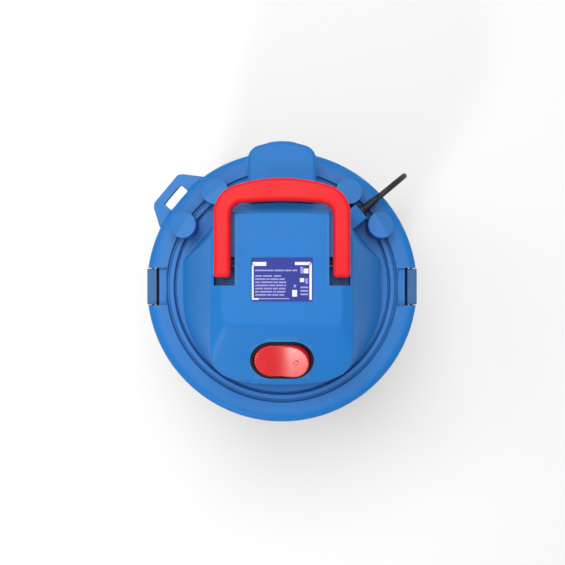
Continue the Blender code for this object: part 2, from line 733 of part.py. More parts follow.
# Carrying handle.
def make_handle():
    outer_r, outer_turn, inner_r, inner_turn = 0.032, 72, 0.014, 85
    leg_in = HANDLE_HALF - HANDLE_LEG
    right_out = [(HANDLE_HALF, LEG_END_Y)] + arc((HANDLE_HALF - outer_r, 0.0823), outer_r, 0, outer_turn, 6)
    right_in = [(leg_in, LEG_END_Y)] + arc((leg_in - inner_r, 0.0799), inner_r, 0, inner_turn, 5)
    outside = right_out + bow(right_out[-1], outer_turn) + [(-x, y) for x, y in reversed(right_out)]
    inside = right_in + bow(right_in[-1], inner_turn) + [(-x, y) for x, y in reversed(right_in)]
    outline = outside + list(reversed(inside))
    handle = outline_plate("carry_handle", outline, *HANDLE_Z, RED)
    rounded(handle, 0.0045, 2, 40)
    pivot = HANDLE_PIVOT
    for side, sign in (("right", 1), ("left", -1)):
        lug_in, lug_out = sign * (leg_in + 0.002), sign * (HANDLE_HALF - 0.002)
        eye = rod("eye_" + side, 0.0070, (lug_in, pivot.y, pivot.z), (lug_out, pivot.y, pivot.z))
        x = sorted((lug_in, lug_out))
        web = box("web_" + side, (x[0], pivot.y - 0.0070, pivot.z), (x[1], pivot.y + 0.0070, 0.428))
        join(handle, "UNION", eye, web)
    for side, sign in (("right", 1), ("left", -1)):
        far, near = sign * 0.0830, sign * 0.0500
        bore = rod("eye_bore_" + side, 0.0033, (near, pivot.y, pivot.z), (far, pivot.y, pivot.z), sides=16)
        join(handle, "DIFFERENCE", bore)
        start, end = sign * 0.0479, sign * (HANDLE_HALF - 0.0025)
        rod("handle_pin_" + side, 0.0030, (start, pivot.y, pivot.z), (end, pivot.y, pivot.z), STEEL, 16)


def bow(start, turn):
    """The points between a corner's end and its mirror image, on the arc that leaves the corner smoothly."""
    radius = start[0] / math.cos(math.radians(turn))
    centre_y = start[1] - radius * math.sin(math.radians(turn))
    return arc((0, centre_y), radius, turn, 180 - turn, 8)[1:-1]


# Latches.
def make_latches():
    x, z = LATCH_PIN
    side = [
        (0.1572, 0.3325),
        (0.1572, 0.3232),
        (0.1600, 0.3212),
        (0.1655, 0.3190),
        (0.1655, 0.3100),
        (0.1628, 0.3085),
        (0.1628, 0.3045),
        (0.1655, 0.3000),
        (0.1655, 0.2690),
        (0.1670, 0.2670),
        (0.1697, 0.2690),
        (0.1685, 0.2750),
        (0.1685, 0.3240),
        (0.1697, 0.3290),
        (0.1680, 0.3325),
    ]
    for name, sign in (("right", 1), ("left", -1)):
        outline = [(sign * px, pz) for px, pz in side]
        latch = outline_plate("latch_" + name, outline, -LATCH_HALF, LATCH_HALF, GREY_BLUE, UPRIGHT)
        rounded(latch, 0.0006, 1, 40)
        bore = rod("latch_eye_" + name, 0.0018, (sign * x, -0.04, z), (sign * x, 0.04, z), sides=12)
        join(latch, "DIFFERENCE", bore)
        rod("latch_pin_" + name, 0.0015, (sign * x, -0.0275, z), (sign * x, 0.0275, z), STEEL, 12)


# Motor and fan.
def ring(name, outer, inner, low, high, finish, steps=20):
    turned(name, [(outer, high), (outer, low), (inner, low), (inner, high)], finish, steps)


def make_motor():
    ring("motor_plate", 0.0850, 0.0113, DECK_Z + 0.0005, 0.3390, STEEL, 32)
    turned(
        "fan_housing",
        [
            (0.0600, 0.3357),
            (0.0600, 0.3020),
            (0.0160, 0.3020),
            (0.0160, 0.3035),
            (0.0585, 0.3035),
            (0.0585, 0.3357),
        ],
        STEEL,
        24,
    )
    ring("lower_bearing", 0.0110, 0.0043, 0.3350, 0.3410, STEEL, 16)
    ring("upper_bearing", 0.0100, 0.0043, 0.3925, 0.3985, STEEL, 16)
    turned(
        "motor_frame",
        [
            (0.0460, 0.3988),
            (0.0460, 0.3393),
            (0.0430, 0.3393),
            (0.0430, 0.3925),
            (0.0103, 0.3925),
            (0.0103, 0.3988),
        ],
        STEEL,
        24,
    )
    ring("stator_core", 0.0425, 0.0285, 0.3450, 0.3780, STEEL)
    rod("motor_shaft", 0.0040, (0, 0, 0.3075), (0, 0, 0.4020), STEEL, 20)
    ring("armature", 0.0275, 0.0043, 0.3455, 0.3775, COPPER)
    ring("commutator", 0.0110, 0.0043, 0.3800, 0.3900, COPPER, 16)
    impeller = turned(
        "impeller",
        [
            (0.0520, 0.3295),
            (0.0520, 0.3280),
            (0.0100, 0.3270),
            (0.0080, 0.3100),
            (0.0043, 0.3100),
            (0.0043, 0.3295),
        ],
        WHITE,
        20,
    )
    blades = []
    blade_count = 6
    for i in range(blade_count):
        turn = Matrix.Rotation(math.tau * i / blade_count, 4, "Z")
        lean = Matrix.Translation((0.030, 0, 0)) @ Matrix.Rotation(math.radians(32), 4, "Z")
        low, high = (-0.019, -0.0007, 0.3110), (0.019, 0.0007, 0.3285)
        blades.append(box(f"blade_{i}", low, high, None, turn @ lean))
    join(impeller, "UNION", *blades)


def make_filter():
    cage = turned(
        "filter_cage",
        [
            (0.0440, 0.2966),
            (0.0440, 0.2946),
            (0.0340, 0.2930),
            (0.0340, 0.2050),
            (0.0060, 0.2050),
            (0.0060, 0.2072),
            (0.0320, 0.2072),
            (0.0320, 0.2966),
        ],
        BLACK,
        24,
    )
    windows = []
    window_axes = 3
    for i in range(window_axes):
        turn = Matrix.Rotation(math.pi * i / window_axes, 4, "Z")
        windows.append(box(f"cage_window_{i}", (-0.05, -0.0075, 0.216), (0.05, 0.0075, 0.284), None, turn))
    join(cage, "DIFFERENCE", *windows)
    ring("foam_filter", 0.0480, 0.0345, 0.2085, 0.2900, FOAM)
    bm = bmesh.new()
    bmesh.ops.create_uvsphere(bm, u_segments=16, v_segments=8, radius=0.020)
    add("float_ball", mesh_from("float_ball", bm), WHITE, Matrix.Translation((0, 0, 0.2278)))


# Mains lead.
def make_gland():
    profile = [
        (0.0042, 0.0200),
        (0.0062, -0.0035),
        (0.0085, -0.0038),
        (0.0085, -0.0062),
        (0.0060, -0.0062),
        (0.0060, -0.0300),
    ]
    turned("cord_gland", [(0, 0.0200)] + profile + [(0, -0.0300)], RUBBER, 20, along(CORD_DIR, GLAND_POINT))


def make_lead():
    run = Vector((-0.879, 0.477, 0))
    drop = Vector((0.1556, 0.1409, 0))
    bend_r = 0.040
    floor_z = CORD_R + 0.0002
    points = [
        GLAND_POINT + CORD_DIR * 0.0203,
        GLAND_POINT + CORD_DIR * 0.031 + Vector((0, 0, -0.0004)),
        GLAND_POINT + CORD_DIR * 0.051 + Vector((0, 0, -0.0054)),
        GLAND_POINT + CORD_DIR * 0.0656 + Vector((0, 0, -0.0200)),
        drop + Vector((0, 0, 0.3130)),
        drop + Vector((0.0006, 0.0004, 0.250)),
        drop + Vector((0.0008, 0.0006, 0.170)),
        drop + Vector((0.0004, 0.0002, 0.100)),
        drop + Vector((0, 0, floor_z + bend_r)),
        drop + run * 0.0054 + Vector((0, 0, floor_z + 0.020)),
        drop + run * 0.020 + Vector((0, 0, floor_z + 0.0054)),
        drop + run * 0.040 + Vector((0, 0, floor_z)),
        drop + run * 0.080 + Vector((0, 0, floor_z)),
        drop + run * 0.1185 + Vector((0, 0, floor_z + 0.001)),
    ]
    tube("cord_drop", smooth_route(points, 0.019), CORD_R, RUBBER)
    inner, outer = COIL_R - COIL_SECTION[0] / 2, COIL_R + COIL_SECTION[0] / 2
    top, edge = COIL_LIFT + COIL_SECTION[1], 0.004
    profile = [
        (outer - edge, top),
        (outer, top - edge),
        (outer, COIL_LIFT + edge),
        (outer - edge, COIL_LIFT),
        (inner + edge, COIL_LIFT),
        (inner, COIL_LIFT + edge),
        (inner, top - edge),
        (inner + edge, top),
    ]
    turned("cord_coil", profile, RUBBER, 28, Matrix.Translation(COIL_CENTRE))
    plug_dir = Vector((math.cos(PLUG_ANGLE), math.sin(PLUG_ANGLE), 0))
    tail = [
        Vector((-0.0458, 0.2052, 0.0268)),
        Vector((-0.0545, 0.2016, 0.0165)),
        PLUG_TIP - plug_dir * 0.0080,
        PLUG_TIP - plug_dir * 0.0006,
    ]
    tube("cord_tail", smooth_route(tail, 0.008), CORD_R, RUBBER)
    tie_turn = Matrix.Translation(COIL_CENTRE) @ Matrix.Rotation(math.radians(285), 4, "Z")
    low, high = (inner - 0.0024, -0.007, 0.0004), (outer + 0.0016, 0.007, top + 0.0014)
    tie = box("cord_tie", low, high, BLACK, tie_turn)
    tie_gap = box(
        "tie_gap", (inner - 0.0012, -0.02, COIL_LIFT - GAP), (outer + GAP, 0.02, top + GAP), None, tie_turn
    )
    join(tie, "DIFFERENCE", tie_gap)
    make_plug(plug_dir)


def make_plug(plug_dir):
    """A flat two-pin plug. Its own frame has +X towards the pins."""
    place = Matrix.Translation(PLUG_TIP) @ Matrix.Rotation(PLUG_ANGLE, 4, "Z")
    outline = [(0, -0.0042), (0.0130, -0.0055), (0.0180, -0.0140), (0.0240, -0.0172), (0.0390, -0.0172)]
    outline += [(x, -y) for x, y in reversed(outline)]
    body = outline_plate("plug_body", outline, -0.0068, 0.0068, RUBBER, place)
    rounded(body, 0.0022, 2, 30)
    for name, y in (("left", 0.0093), ("right", -0.0093)):
        start = place @ Vector((0.0393, y, 0))
        rod("plug_pin_" + name, 0.0020, start, start + plug_dir * 0.0190, BRASS, 12)


make_drum()
make_base()
for castor in castor_places():
    make_castor(*castor)
make_inlet()
make_lid()
make_gaskets_and_screws()
make_housing()
make_hood()
make_label()
make_switch()
make_handle()
make_latches()
make_motor()
make_filter()
make_gland()
make_lead()
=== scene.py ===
"""The looks of a shop vacuum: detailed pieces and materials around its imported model, in metres, +Z up."""

from math import atan2, ceil, copysign, cos, hypot, pi, radians, sin, tan, tau

import bmesh
import bpy
from mathutils import Matrix, Vector


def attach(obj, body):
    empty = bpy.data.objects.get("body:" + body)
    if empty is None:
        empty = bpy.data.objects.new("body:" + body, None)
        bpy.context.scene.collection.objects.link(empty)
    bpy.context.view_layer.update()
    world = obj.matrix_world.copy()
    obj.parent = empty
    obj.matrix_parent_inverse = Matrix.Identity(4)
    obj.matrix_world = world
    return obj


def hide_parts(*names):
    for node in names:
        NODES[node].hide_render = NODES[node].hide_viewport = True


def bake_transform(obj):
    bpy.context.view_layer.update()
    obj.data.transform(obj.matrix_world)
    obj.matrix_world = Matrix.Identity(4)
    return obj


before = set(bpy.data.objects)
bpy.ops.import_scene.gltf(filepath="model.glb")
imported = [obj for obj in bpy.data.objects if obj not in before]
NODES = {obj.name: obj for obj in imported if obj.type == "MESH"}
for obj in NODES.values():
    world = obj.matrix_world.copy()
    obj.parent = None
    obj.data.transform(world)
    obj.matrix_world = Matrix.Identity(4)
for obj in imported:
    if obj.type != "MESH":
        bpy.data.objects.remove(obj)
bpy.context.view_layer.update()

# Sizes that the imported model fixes.
GAP = 0.0003
RIM_R = 0.17
DRUM_R = 0.156
DRUM_WALL = 0.0012
DRUM_FLOOR_Z = 0.0785
DRUM_TOP_Z = 0.318
DRUM_CORNER_R = 0.02
BEAD_R = 0.162
BASE_Z = 0.055
BASE_R = 0.164
DECK_Z = 0.3355
RIM_DECK_Z = 0.3365
WELL_R = 0.075
WELL_FLOOR_Z = 0.3
INTAKE_R = 0.014
PLATEAU_Z = 0.425
SLOPE_TOP_Y = -0.043
SLOPE_FOOT = (-0.1135, 0.391)
HOOD_END_Y = 0.1728
HOOD_HALF = 0.041
HOOD_TOP_Z = 0.38
PORT_Z = 0.357
PORT_R = 0.0175
INLET_Z = 0.235
INLET_BORE_R = 0.018
INLET_END_Y = -0.1728
POST_R = 0.016
POST_RING_R = 0.1418
POST_TOP_Z = 0.366
POST_ANGLES = (35, 58)
POST_SLOPE = radians(38)
TAB_ANGLE = radians(140)
HANDLE_HALF = 0.076
HANDLE_LEG = 0.019
HANDLE_Z = (0.421, 0.437)
HANDLE_PIVOT = Vector((0, 0.0235, 0.418))
HANDLE_BORE_R = 0.0033
LEG_END_Y = 0.0105
SLOPE_ANGLE = atan2(PLATEAU_Z - SLOPE_FOOT[1], SLOPE_TOP_Y - SLOPE_FOOT[0])
SWITCH_CENTRE = Vector((0, -0.0846, 0.4049))
ROCKER_SIZE = (0.0645, 0.0406)
ROCKER_TILT = radians(5)
ROCKER_PIVOT_Z = -0.0018
ROCKER_BORE_R = 0.0018
BEZEL_SIZE = (0.073, 0.049)
LATCH_HALF = 0.0225
LATCH_PIN = (0.1625, 0.3275)
CASTOR_XY = 0.088
CASTOR_TRAIL = 0.014
WHEEL_R = 0.021
CORD_R = 0.0035
CORD_ANGLE = radians(39.7)
CORD_DIR = Vector((cos(CORD_ANGLE), sin(CORD_ANGLE), 0))
GLAND_POINT = Vector((0.101, 0.0955, 0.353))
COIL_CENTRE = Vector((0, 0.165, 0))
COIL_COLUMNS = (0.0528, 0.0456, 0.0384, 0.0312)
COIL_ROWS = (0.0053, 0.0125, 0.0197, 0.0269, 0.0341)
PLUG_TIP = Vector((-0.07, 0.1955, 0.0082))
PLUG_ANGLE = radians(200)
SIDEWAYS = Matrix(((0, 0, 1, 0), (1, 0, 0, 0), (0, 1, 0, 0), (0, 0, 0, 1)))
HORIZON_LIGHT = 0.34
ZENITH_LIGHT = 0.6


# Helpers.
def linked(name, data):
    made = bpy.data.objects.new(name, data)
    bpy.context.scene.collection.objects.link(made)
    return made


def add(name, bm, place=None):
    """An object from a bmesh, with outward normals. The place is applied to its mesh."""
    bmesh.ops.recalc_face_normals(bm, faces=bm.faces)
    if place is not None:
        bm.transform(place)
    mesh = bpy.data.meshes.new(name)
    bm.to_mesh(mesh)
    bm.free()
    return linked(name, mesh)


def along(direction, start=(0, 0, 0)):
    """A matrix that takes +Z to the direction, and the origin to the start."""
    turn = Vector((0, 0, 1)).rotation_difference(Vector(direction))
    return Matrix.Translation(Vector(start)) @ turn.to_matrix().to_4x4()


def placed(point, turn=0, axis="Z"):
    """A matrix that turns about the axis, in radians, and then takes the origin to the point."""
    return Matrix.Translation(Vector(point)) @ Matrix.Rotation(turn, 4, axis)


def skin(bm, loops, closed=False, caps=False):
    """Faces between successive loops of vertices. A loop of one vertex is a point on the axis."""
    pairs = list(zip(loops, loops[1:]))
    if closed:
        pairs.append((loops[-1], loops[0]))
    count = max(len(loop) for loop in loops)
    for one, two in pairs:
        for i in range(count):
            j = (i + 1) % count
            ends = [one[i % len(one)], one[j % len(one)], two[j % len(two)], two[i % len(two)]]
            corners = list(dict.fromkeys(ends))
            if len(corners) > 2:
                bm.faces.new(corners)
    if caps:
        bm.faces.new(reversed(loops[0]))
        bm.faces.new(loops[-1])


def turned(name, profile, steps=96, place=None):
    """A profile of (radius, height) turned about Z. Off the axis it closes on itself."""
    bm = bmesh.new()
    turns = [tau * i / steps for i in range(steps)]
    loops = []
    for radius, height in profile:
        if radius < 1e-7:
            loops.append([bm.verts.new((0, 0, height))])
        else:
            loops.append([bm.verts.new((radius * cos(a), radius * sin(a), height)) for a in turns])
    skin(bm, loops, closed=profile[0][0] > 0 and profile[-1][0] > 0)
    return add(name, bm, place)


def slab(name, outline, low, high, place=None):
    """A flat outline in XY, given thickness from low to high."""
    bm = bmesh.new()
    skin(bm, [[bm.verts.new((x, y, z)) for x, y in outline] for z in (low, high)], caps=True)
    return add(name, bm, place)


def loft(name, sections):
    bm = bmesh.new()
    skin(bm, [[bm.verts.new(point) for point in section] for section in sections], caps=True)
    return add(name, bm)


def box(name, corner, opposite, place=None):
    (x0, x1), (y0, y1), (z0, z1) = (sorted(pair) for pair in zip(corner, opposite))
    return slab(name, [(x0, y0), (x1, y0), (x1, y1), (x0, y1)], z0, z1, place)


def rod(name, radius, start, end, sides=48):
    start, end = Vector(start), Vector(end)
    length = (end - start).length
    profile = [(0, length), (radius, length), (radius, 0), (0, 0)]
    return turned(name, profile, sides, along(end - start, start))


def sweep(name, points, radius, sides=12):
    """A tube of one radius, or of a radius for each point, along a line of points."""
    points = [Vector(point) for point in points]
    radii = radius if isinstance(radius, list) else [radius] * len(points)
    bm = bmesh.new()
    loops, normal, before = [], None, None
    for i, (point, size) in enumerate(zip(points, radii)):
        ahead = (points[min(i + 1, len(points) - 1)] - points[max(i - 1, 0)]).normalized()
        if normal is None:
            normal = ahead.orthogonal().normalized()
        else:
            normal = (before.rotation_difference(ahead) @ normal).normalized()
        before = ahead
        other = ahead.cross(normal)
        turns = [tau * k / sides for k in range(sides)]
        spokes = [cos(a) * normal + sin(a) * other for a in turns]
        loops.append([bm.verts.new(point + size * spoke) for spoke in spokes])
    skin(bm, loops, caps=True)
    return add(name, bm)


def arc(centre, radius, start, end, count):
    """Points on an arc, in degrees, ends included."""
    spread = [radians(start + (end - start) * i / count) for i in range(count + 1)]
    return [(centre[0] + radius * cos(a), centre[1] + radius * sin(a)) for a in spread]


def stadium(length, width, count=24):
    """An outline with two straight sides and two half circles."""
    side = (length - width) / 2
    return arc((side, 0), width / 2, -90, 90, count) + arc((-side, 0), width / 2, 90, 270, count)


def round_box(low, high, corner, count):
    """A rectangle between two opposite corners, with all four of its corners rounded."""
    left, right, near, far = low[0] + corner, high[0] - corner, low[1] + corner, high[1] - corner
    points = []
    for k, centre in enumerate(((right, near), (right, far), (left, far), (left, near))):
        points += arc(centre, corner, 90 * k - 90, 90 * k, count)
    return points


def both_ways(points):
    """The points, and back again along their mirror images across the first axis."""
    return points + [(x, -y) for x, y in reversed(points)]


def flipped(points):
    """The mirror images of the points across the second axis, last one first."""
    return [(-x, y) for x, y in reversed(points)]


def settle(part):
    """Applies the part's modifiers to its mesh."""
    bpy.context.view_layer.update()
    mesh = bpy.data.meshes.new_from_object(part.evaluated_get(bpy.context.evaluated_depsgraph_get()))
    part.modifiers.clear()
    part.data = mesh
    return part


def combine(part, operation, *tools):
    """Cuts the tools from the part, or unites them with it, and removes the tools."""
    for tool in tools:
        boolean = part.modifiers.new(tool.name, "BOOLEAN")
        boolean.operation = operation
        boolean.object = tool
        boolean.solver = "EXACT"
    settle(part)
    for tool in tools:
        bpy.data.objects.remove(tool)
    return part


def cut(part, *tools):
    return combine(part, "DIFFERENCE", *tools)


def unite(part, *tools):
    return combine(part, "UNION", *tools)


def merge(name, *parts):
    """One object from several that only touch or lie inside each other."""
    bm = bmesh.new()
    for part in parts:
        bm.from_mesh(part.data)
        bpy.data.objects.remove(part)
    return add(name, bm)


def rounded(part, width, segments=3, angle=30):
    bevel = part.modifiers.new("rounded", "BEVEL")
    bevel.width = width
    bevel.segments = segments
    bevel.limit_method = "ANGLE"
    bevel.angle_limit = radians(angle)
    bevel.miter_outer = "MITER_ARC"
    return part


def smoothed(part, angle=40):
    """Smooth shading, with the edges above the angle left sharp."""
    settle(part)
    part.data.shade_smooth()
    part.data.set_sharp_from_angle(angle=radians(angle))
    normals = part.modifiers.new("normals", "WEIGHTED_NORMAL")
    normals.keep_sharp = True
    return part


def gridded(part, step, shift=0.0004):
    """Splits the faces along planes a step apart, so that smooth shading stays local.

    The shift keeps the planes off the shape's own corners.
    """
    bm = bmesh.new()
    bm.from_mesh(part.data)
    bmesh.ops.connect_verts_concave(bm, faces=bm.faces)
    for axis in range(3):
        places = [vert.co[axis] for vert in bm.verts]
        across = Vector([float(axis == i) for i in range(3)])
        for k in range(ceil(min(places) / step), ceil(max(places) / step)):
            shape = bm.verts[:] + bm.edges[:] + bm.faces[:]
            place = across * (k * step + shift)
            bmesh.ops.bisect_plane(bm, geom=shape, dist=1e-6, plane_co=place, plane_no=across)
    bm.to_mesh(part.data)
    bm.free()
    return part


def piece(part, body, slot, paint, *nodes):
    """Gives a finished piece its paint, puts it under its body and hides the nodes that it stands for. Its
    slot is not used.
    """
    part.data.materials.clear()
    part.data.materials.append(paint)
    if body is not None:
        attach(part, body)
    if nodes:
        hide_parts(*nodes)
    return part


def curve_point(before, start, end, after, t):
    """A place between start and end on the smooth curve through four points. It goes with t from 0 to 1."""
    cubic = (3 * start - before - 3 * end + after) * t**3
    square = (2 * before - 5 * start + 4 * end - after) * t**2
    return 0.5 * (2 * start + (end - before) * t + square + cubic)


def smooth_route(points, step):
    """Points about a step apart on a smooth curve through the given ones."""
    points = [Vector(point) for point in points]
    ends = [2 * points[0] - points[1]] + points + [2 * points[-1] - points[-2]]
    route = [points[0]]
    for four in zip(ends, ends[1:], ends[2:], ends[3:]):
        count = max(1, round((four[2] - four[1]).length / step))
        route += [curve_point(*four, i / count) for i in range(1, count + 1)]
    return route


def ease(t):
    t = max(0.0, min(1.0, t))
    return t * t * (3 - 2 * t)


# Camera, straight above the lid.
CAMERA_PLACE = (0.0006, 0.0051, 1.2)
lens = bpy.data.cameras.new("camera")
lens.lens = 44.07
lens.sensor_width = 36
camera = linked("camera", lens)
camera.location = CAMERA_PLACE
bpy.context.scene.camera = camera


# Materials.
class Paint:
    """A procedural material, built around its Principled shader."""

    def __init__(self, name, **sockets):
        self.material = bpy.data.materials.new(name)
        self.material.use_nodes = True
        self.tree = self.material.node_tree
        self.shader = self.tree.nodes["Principled BSDF"]
        for key, value in sockets.items():
            self.set(self.shader, key.replace("_", " ").title().replace("Ior", "IOR"), value)
        self.place = self.add("ShaderNodeTexCoord").outputs["Object"]

    def set(self, node, key, value):
        socket = node.inputs[key]
        if isinstance(value, bpy.types.NodeSocket):
            self.tree.links.new(value, socket)
        else:
            socket.default_value = value

    def add(self, kind, sockets=(), **settings):
        made = self.tree.nodes.new(kind)
        for key, value in settings.items():
            setattr(made, key, value)
        for key, value in dict(sockets).items():
            self.set(made, key, value)
        return made

    def noise(self, scale, detail=2.0, stretch=None, rough=0.5):
        place = self.place
        if stretch is not None:
            place = self.add("ShaderNodeMapping", {"Vector": place, "Scale": stretch}).outputs[0]
        sockets = {"Vector": place, "Scale": scale, "Detail": detail, "Roughness": rough}
        return self.add("ShaderNodeTexNoise", sockets).outputs[0]

    def between(self, value, low, high, to_low=0.0, to_high=1.0):
        sockets = {"Value": value, "From Min": low, "From Max": high, "To Min": to_low, "To Max": to_high}
        return self.add("ShaderNodeMapRange", sockets).outputs[0]

    def mix(self, factor, one, two):
        return self.add("ShaderNodeMixRGB", {"Fac": factor, "Color1": one, "Color2": two}).outputs[0]

    def math(self, operation, one, two):
        made = self.add("ShaderNodeMath", operation=operation)
        self.set(made, 0, one)
        self.set(made, 1, two)
        return made.outputs[0]

    def bump(self, height, distance):
        return self.add("ShaderNodeBump", {"Height": height, "Distance": distance}).outputs[0]

    def mottle(self, value, low, high, colour, spread):
        """The colour, darker by the spread where the value is low, and lighter by it where it is high."""
        dark, light = shade(colour, 1 - spread), shade(colour, 1 + spread)
        return self.mix(self.between(value, low, high), dark, light)

    def edge(self):
        """How much a spot is an outer edge, from 0 to 1, with its border broken up."""
        sharp = self.add("ShaderNodeNewGeometry").outputs["Pointiness"]
        ragged = self.between(self.noise(180, 4), 0.3, 0.7, -0.03, 0.03)
        return self.between(self.math("ADD", sharp, ragged), 0.56, 0.68)

    def finish(self, colour, roughness, normal):
        """Links the surface to its shader and returns the material."""
        for key, value in (("Base Color", colour), ("Roughness", roughness), ("Normal", normal)):
            self.set(self.shader, key, value)
        return self.material


def shade(colour, factor):
    return (*[min(1.0, c * factor) for c in colour], 1)


def moulded(
    name, colour, roughness, grain=1500, depth=0.00004, blotch=0.05, wear=0.25, corner_shade=0.0, specular=0.5
):
    """Moulded plastic: a fine spark-eroded grain, slight flow marks, paler worn edges and, where asked,
    painted shade in its corners and recesses.
    """
    paint = Paint(name, specular_ior_level=specular)
    tone = paint.mottle(paint.noise(9, 5, (1, 1, 0.5)), 0.3, 0.7, colour, blotch)
    speck = paint.between(paint.noise(2600, 1), 0.35, 0.65)
    tone = paint.mix(speck, shade(colour, 0.95), tone)
    if corner_shade:
        # Painted shade: corners and recesses that the part's own shape hems in are darkened, down towards a
        # fifth of the colour.
        corner = paint.add("ShaderNodeAmbientOcclusion", {"Distance": 0.022}, samples=12, only_local=True)
        painted_shade = paint.between(corner.outputs["AO"], 0.2, 0.9, corner_shade, 0.0)
        tone = paint.mix(painted_shade, tone, shade(colour, 0.2))
    worn = paint.math("MULTIPLY", paint.edge(), wear)
    paler = shade([c * 0.6 + 0.14 for c in colour], 1.2)
    smudge = paint.between(paint.noise(26, 6), 0.3, 0.7, roughness - 0.06, roughness + 0.06)
    coarse = paint.bump(paint.noise(grain, 3, rough=0.6), depth)
    return paint.finish(paint.mix(worn, tone, paler), smudge, coarse)


def metal(name, colour, roughness, stretch, depth=0.00002, spots=0.04):
    """Bare metal with fine lines that run across the stretched axis."""
    paint = Paint(name, metallic=1.0)
    lines = paint.noise(1.0, 6, stretch, 0.65)
    dull = paint.mottle(paint.noise(7, 5), 0.35, 0.7, colour, spots)
    tone = paint.mix(paint.between(lines, 0.3, 0.7, 0, 0.35), dull, shade(colour, 0.86))
    marks = paint.between(paint.noise(40, 6), 0.3, 0.75, -0.03, 0.07)
    rough = paint.math("ADD", paint.between(lines, 0.3, 0.7, roughness - 0.05, roughness + 0.07), marks)
    return paint.finish(tone, rough, paint.bump(lines, depth))


def foam():
    paint = Paint("foam_open_cell", sheen_weight=0.35, sheen_roughness=0.6)
    cell = {"Vector": paint.place, "Scale": 650.0}
    pores = paint.add("ShaderNodeTexVoronoi", cell).outputs["Distance"]
    # Painted shade: the pores darken towards their middles, where the bump makes them deepest.
    depth = paint.between(pores, 0.0, 0.7, 1, 0)
    tone = paint.mix(depth, (0.06, 0.06, 0.064, 1), (0.008, 0.008, 0.009, 1))
    dusty = paint.between(paint.noise(30, 5), 0.45, 0.75, 0, 0.5)
    tone = paint.mix(dusty, tone, (0.075, 0.07, 0.062, 1))
    return paint.finish(tone, paint.between(pores, 0, 1, 0.85, 1.0), paint.bump(pores, 0.0006))


def wound_copper():
    paint = Paint("copper_windings", metallic=1.0)
    wires = paint.noise(1.0, 2, (900, 900, 60))
    tone = paint.mix(paint.between(wires, 0.35, 0.65), (0.36, 0.13, 0.05, 1), (0.78, 0.36, 0.18, 1))
    return paint.finish(tone, paint.between(wires, 0.3, 0.7, 0.45, 0.28), paint.bump(wires, 0.0003))


# The blue plastic gets painted shade in its corners and recesses.
BLUE = moulded("blue_polypropylene", (0.012, 0.18, 0.55), 0.42, wear=0.15, corner_shade=0.8, specular=0.2)
LATCH_BLUE = moulded("latch_nylon", (0.044, 0.15, 0.345), 0.46, blotch=0.07, specular=0.3)
ROCKER_RED = moulded("rocker_red_abs", (0.7, 0.011, 0.016), 0.23, grain=1100, depth=0.00002, wear=0.3)
HANDLE_RED = moulded("handle_red_abs", (0.78, 0.01, 0.015), 0.36, grain=1100, wear=0.2, specular=0.18)
BEZEL_BLACK = moulded("bezel_black_abs", (0.006, 0.005, 0.007), 0.5, grain=1300, wear=0.1, specular=0.2)
BLACK = moulded("black_abs", (0.014, 0.014, 0.015), 0.48, grain=1300, depth=0.00006, wear=0.5)
RUBBER = moulded("wheel_rubber_grey", (0.022, 0.022, 0.023), 0.72, grain=900, depth=0.00008, blotch=0.25)
CORD_RUBBER = moulded("cord_jacket", (0.01, 0.01, 0.011), 0.5, grain=700, depth=0.00004, blotch=0.15)
WHITE = moulded("white_nylon", (0.7, 0.69, 0.65), 0.45)
HUB = moulded("hub_grey", (0.3, 0.3, 0.3), 0.45, blotch=0.08)
LABEL = moulded("label_vinyl", (0.03, 0.046, 0.3), 0.36, grain=420, depth=0.00001, wear=0.0, specular=0.15)
INK_WHITE = moulded("label_ink_white", (0.78, 0.78, 0.92), 0.42, wear=0.0)
INK_LILAC = moulded("label_ink_lilac", (0.3, 0.29, 0.62), 0.42, wear=0.0)
STEEL = metal("drum_stainless", (0.6, 0.6, 0.585), 0.27, (3, 3, 1500))
BRIGHT = metal("bright_plated", (0.68, 0.68, 0.67), 0.24, (500, 500, 60))
DARK_STEEL = metal("blackened_steel", (0.05, 0.05, 0.052), 0.38, (500, 500, 60))
IRON = metal("motor_laminations", (0.3, 0.3, 0.29), 0.42, (4, 4, 2500), 0.00008)
BRASS = metal("plug_brass", (0.78, 0.55, 0.22), 0.26, (400, 400, 400))
COPPER = wound_copper()
FOAM = foam()

# The lead leaves the gland, drops behind the head and lies in a coil on the floor, with its plug beside it.
RUN = Vector((-0.879, 0.477, 0))
DROP = Vector((0.1556, 0.1409, 0))
FLOOR_Z = CORD_R + 0.0002
# In degrees: where each turn starts, how far it takes to change columns, where and how far it climbs, and
# how far the coil goes on after its last full turn.
COIL_START = 62
CELL_SHIFT = 42
RISE_START, RISE_SHIFT = 310, 46
LAST_ARC = 48


def coil_points():
    """The wound part of the lead, row by row from the floor up, one full turn a cell."""
    cells = []
    for row, z in enumerate(COIL_ROWS[:-1]):
        columns = COIL_COLUMNS if row % 2 == 0 else COIL_COLUMNS[::-1]
        cells += [(radius, z) for radius in columns]
    cells.append((COIL_COLUMNS[0], COIL_ROWS[-1]))
    points = []
    per_turn = 40
    total = len(cells) * per_turn + round(LAST_ARC / 360 * per_turn)
    for i in range(total + 1):
        cell = min(i // per_turn, len(cells) - 1)
        turn = (i - cell * per_turn) * 360 / per_turn
        radius, z = cells[cell]
        if cell and cells[cell - 1][1] == z:
            last_radius = cells[cell - 1][0]
            radius = last_radius + (radius - last_radius) * ease(turn / CELL_SHIFT)
        if cell + 1 < len(cells) and cells[cell + 1][1] != z:
            z += (cells[cell + 1][1] - z) * ease((turn - RISE_START) / RISE_SHIFT)
        angle = radians(COIL_START + turn)
        points.append(COIL_CENTRE + Vector((radius * cos(angle), radius * sin(angle), z)))
    return points


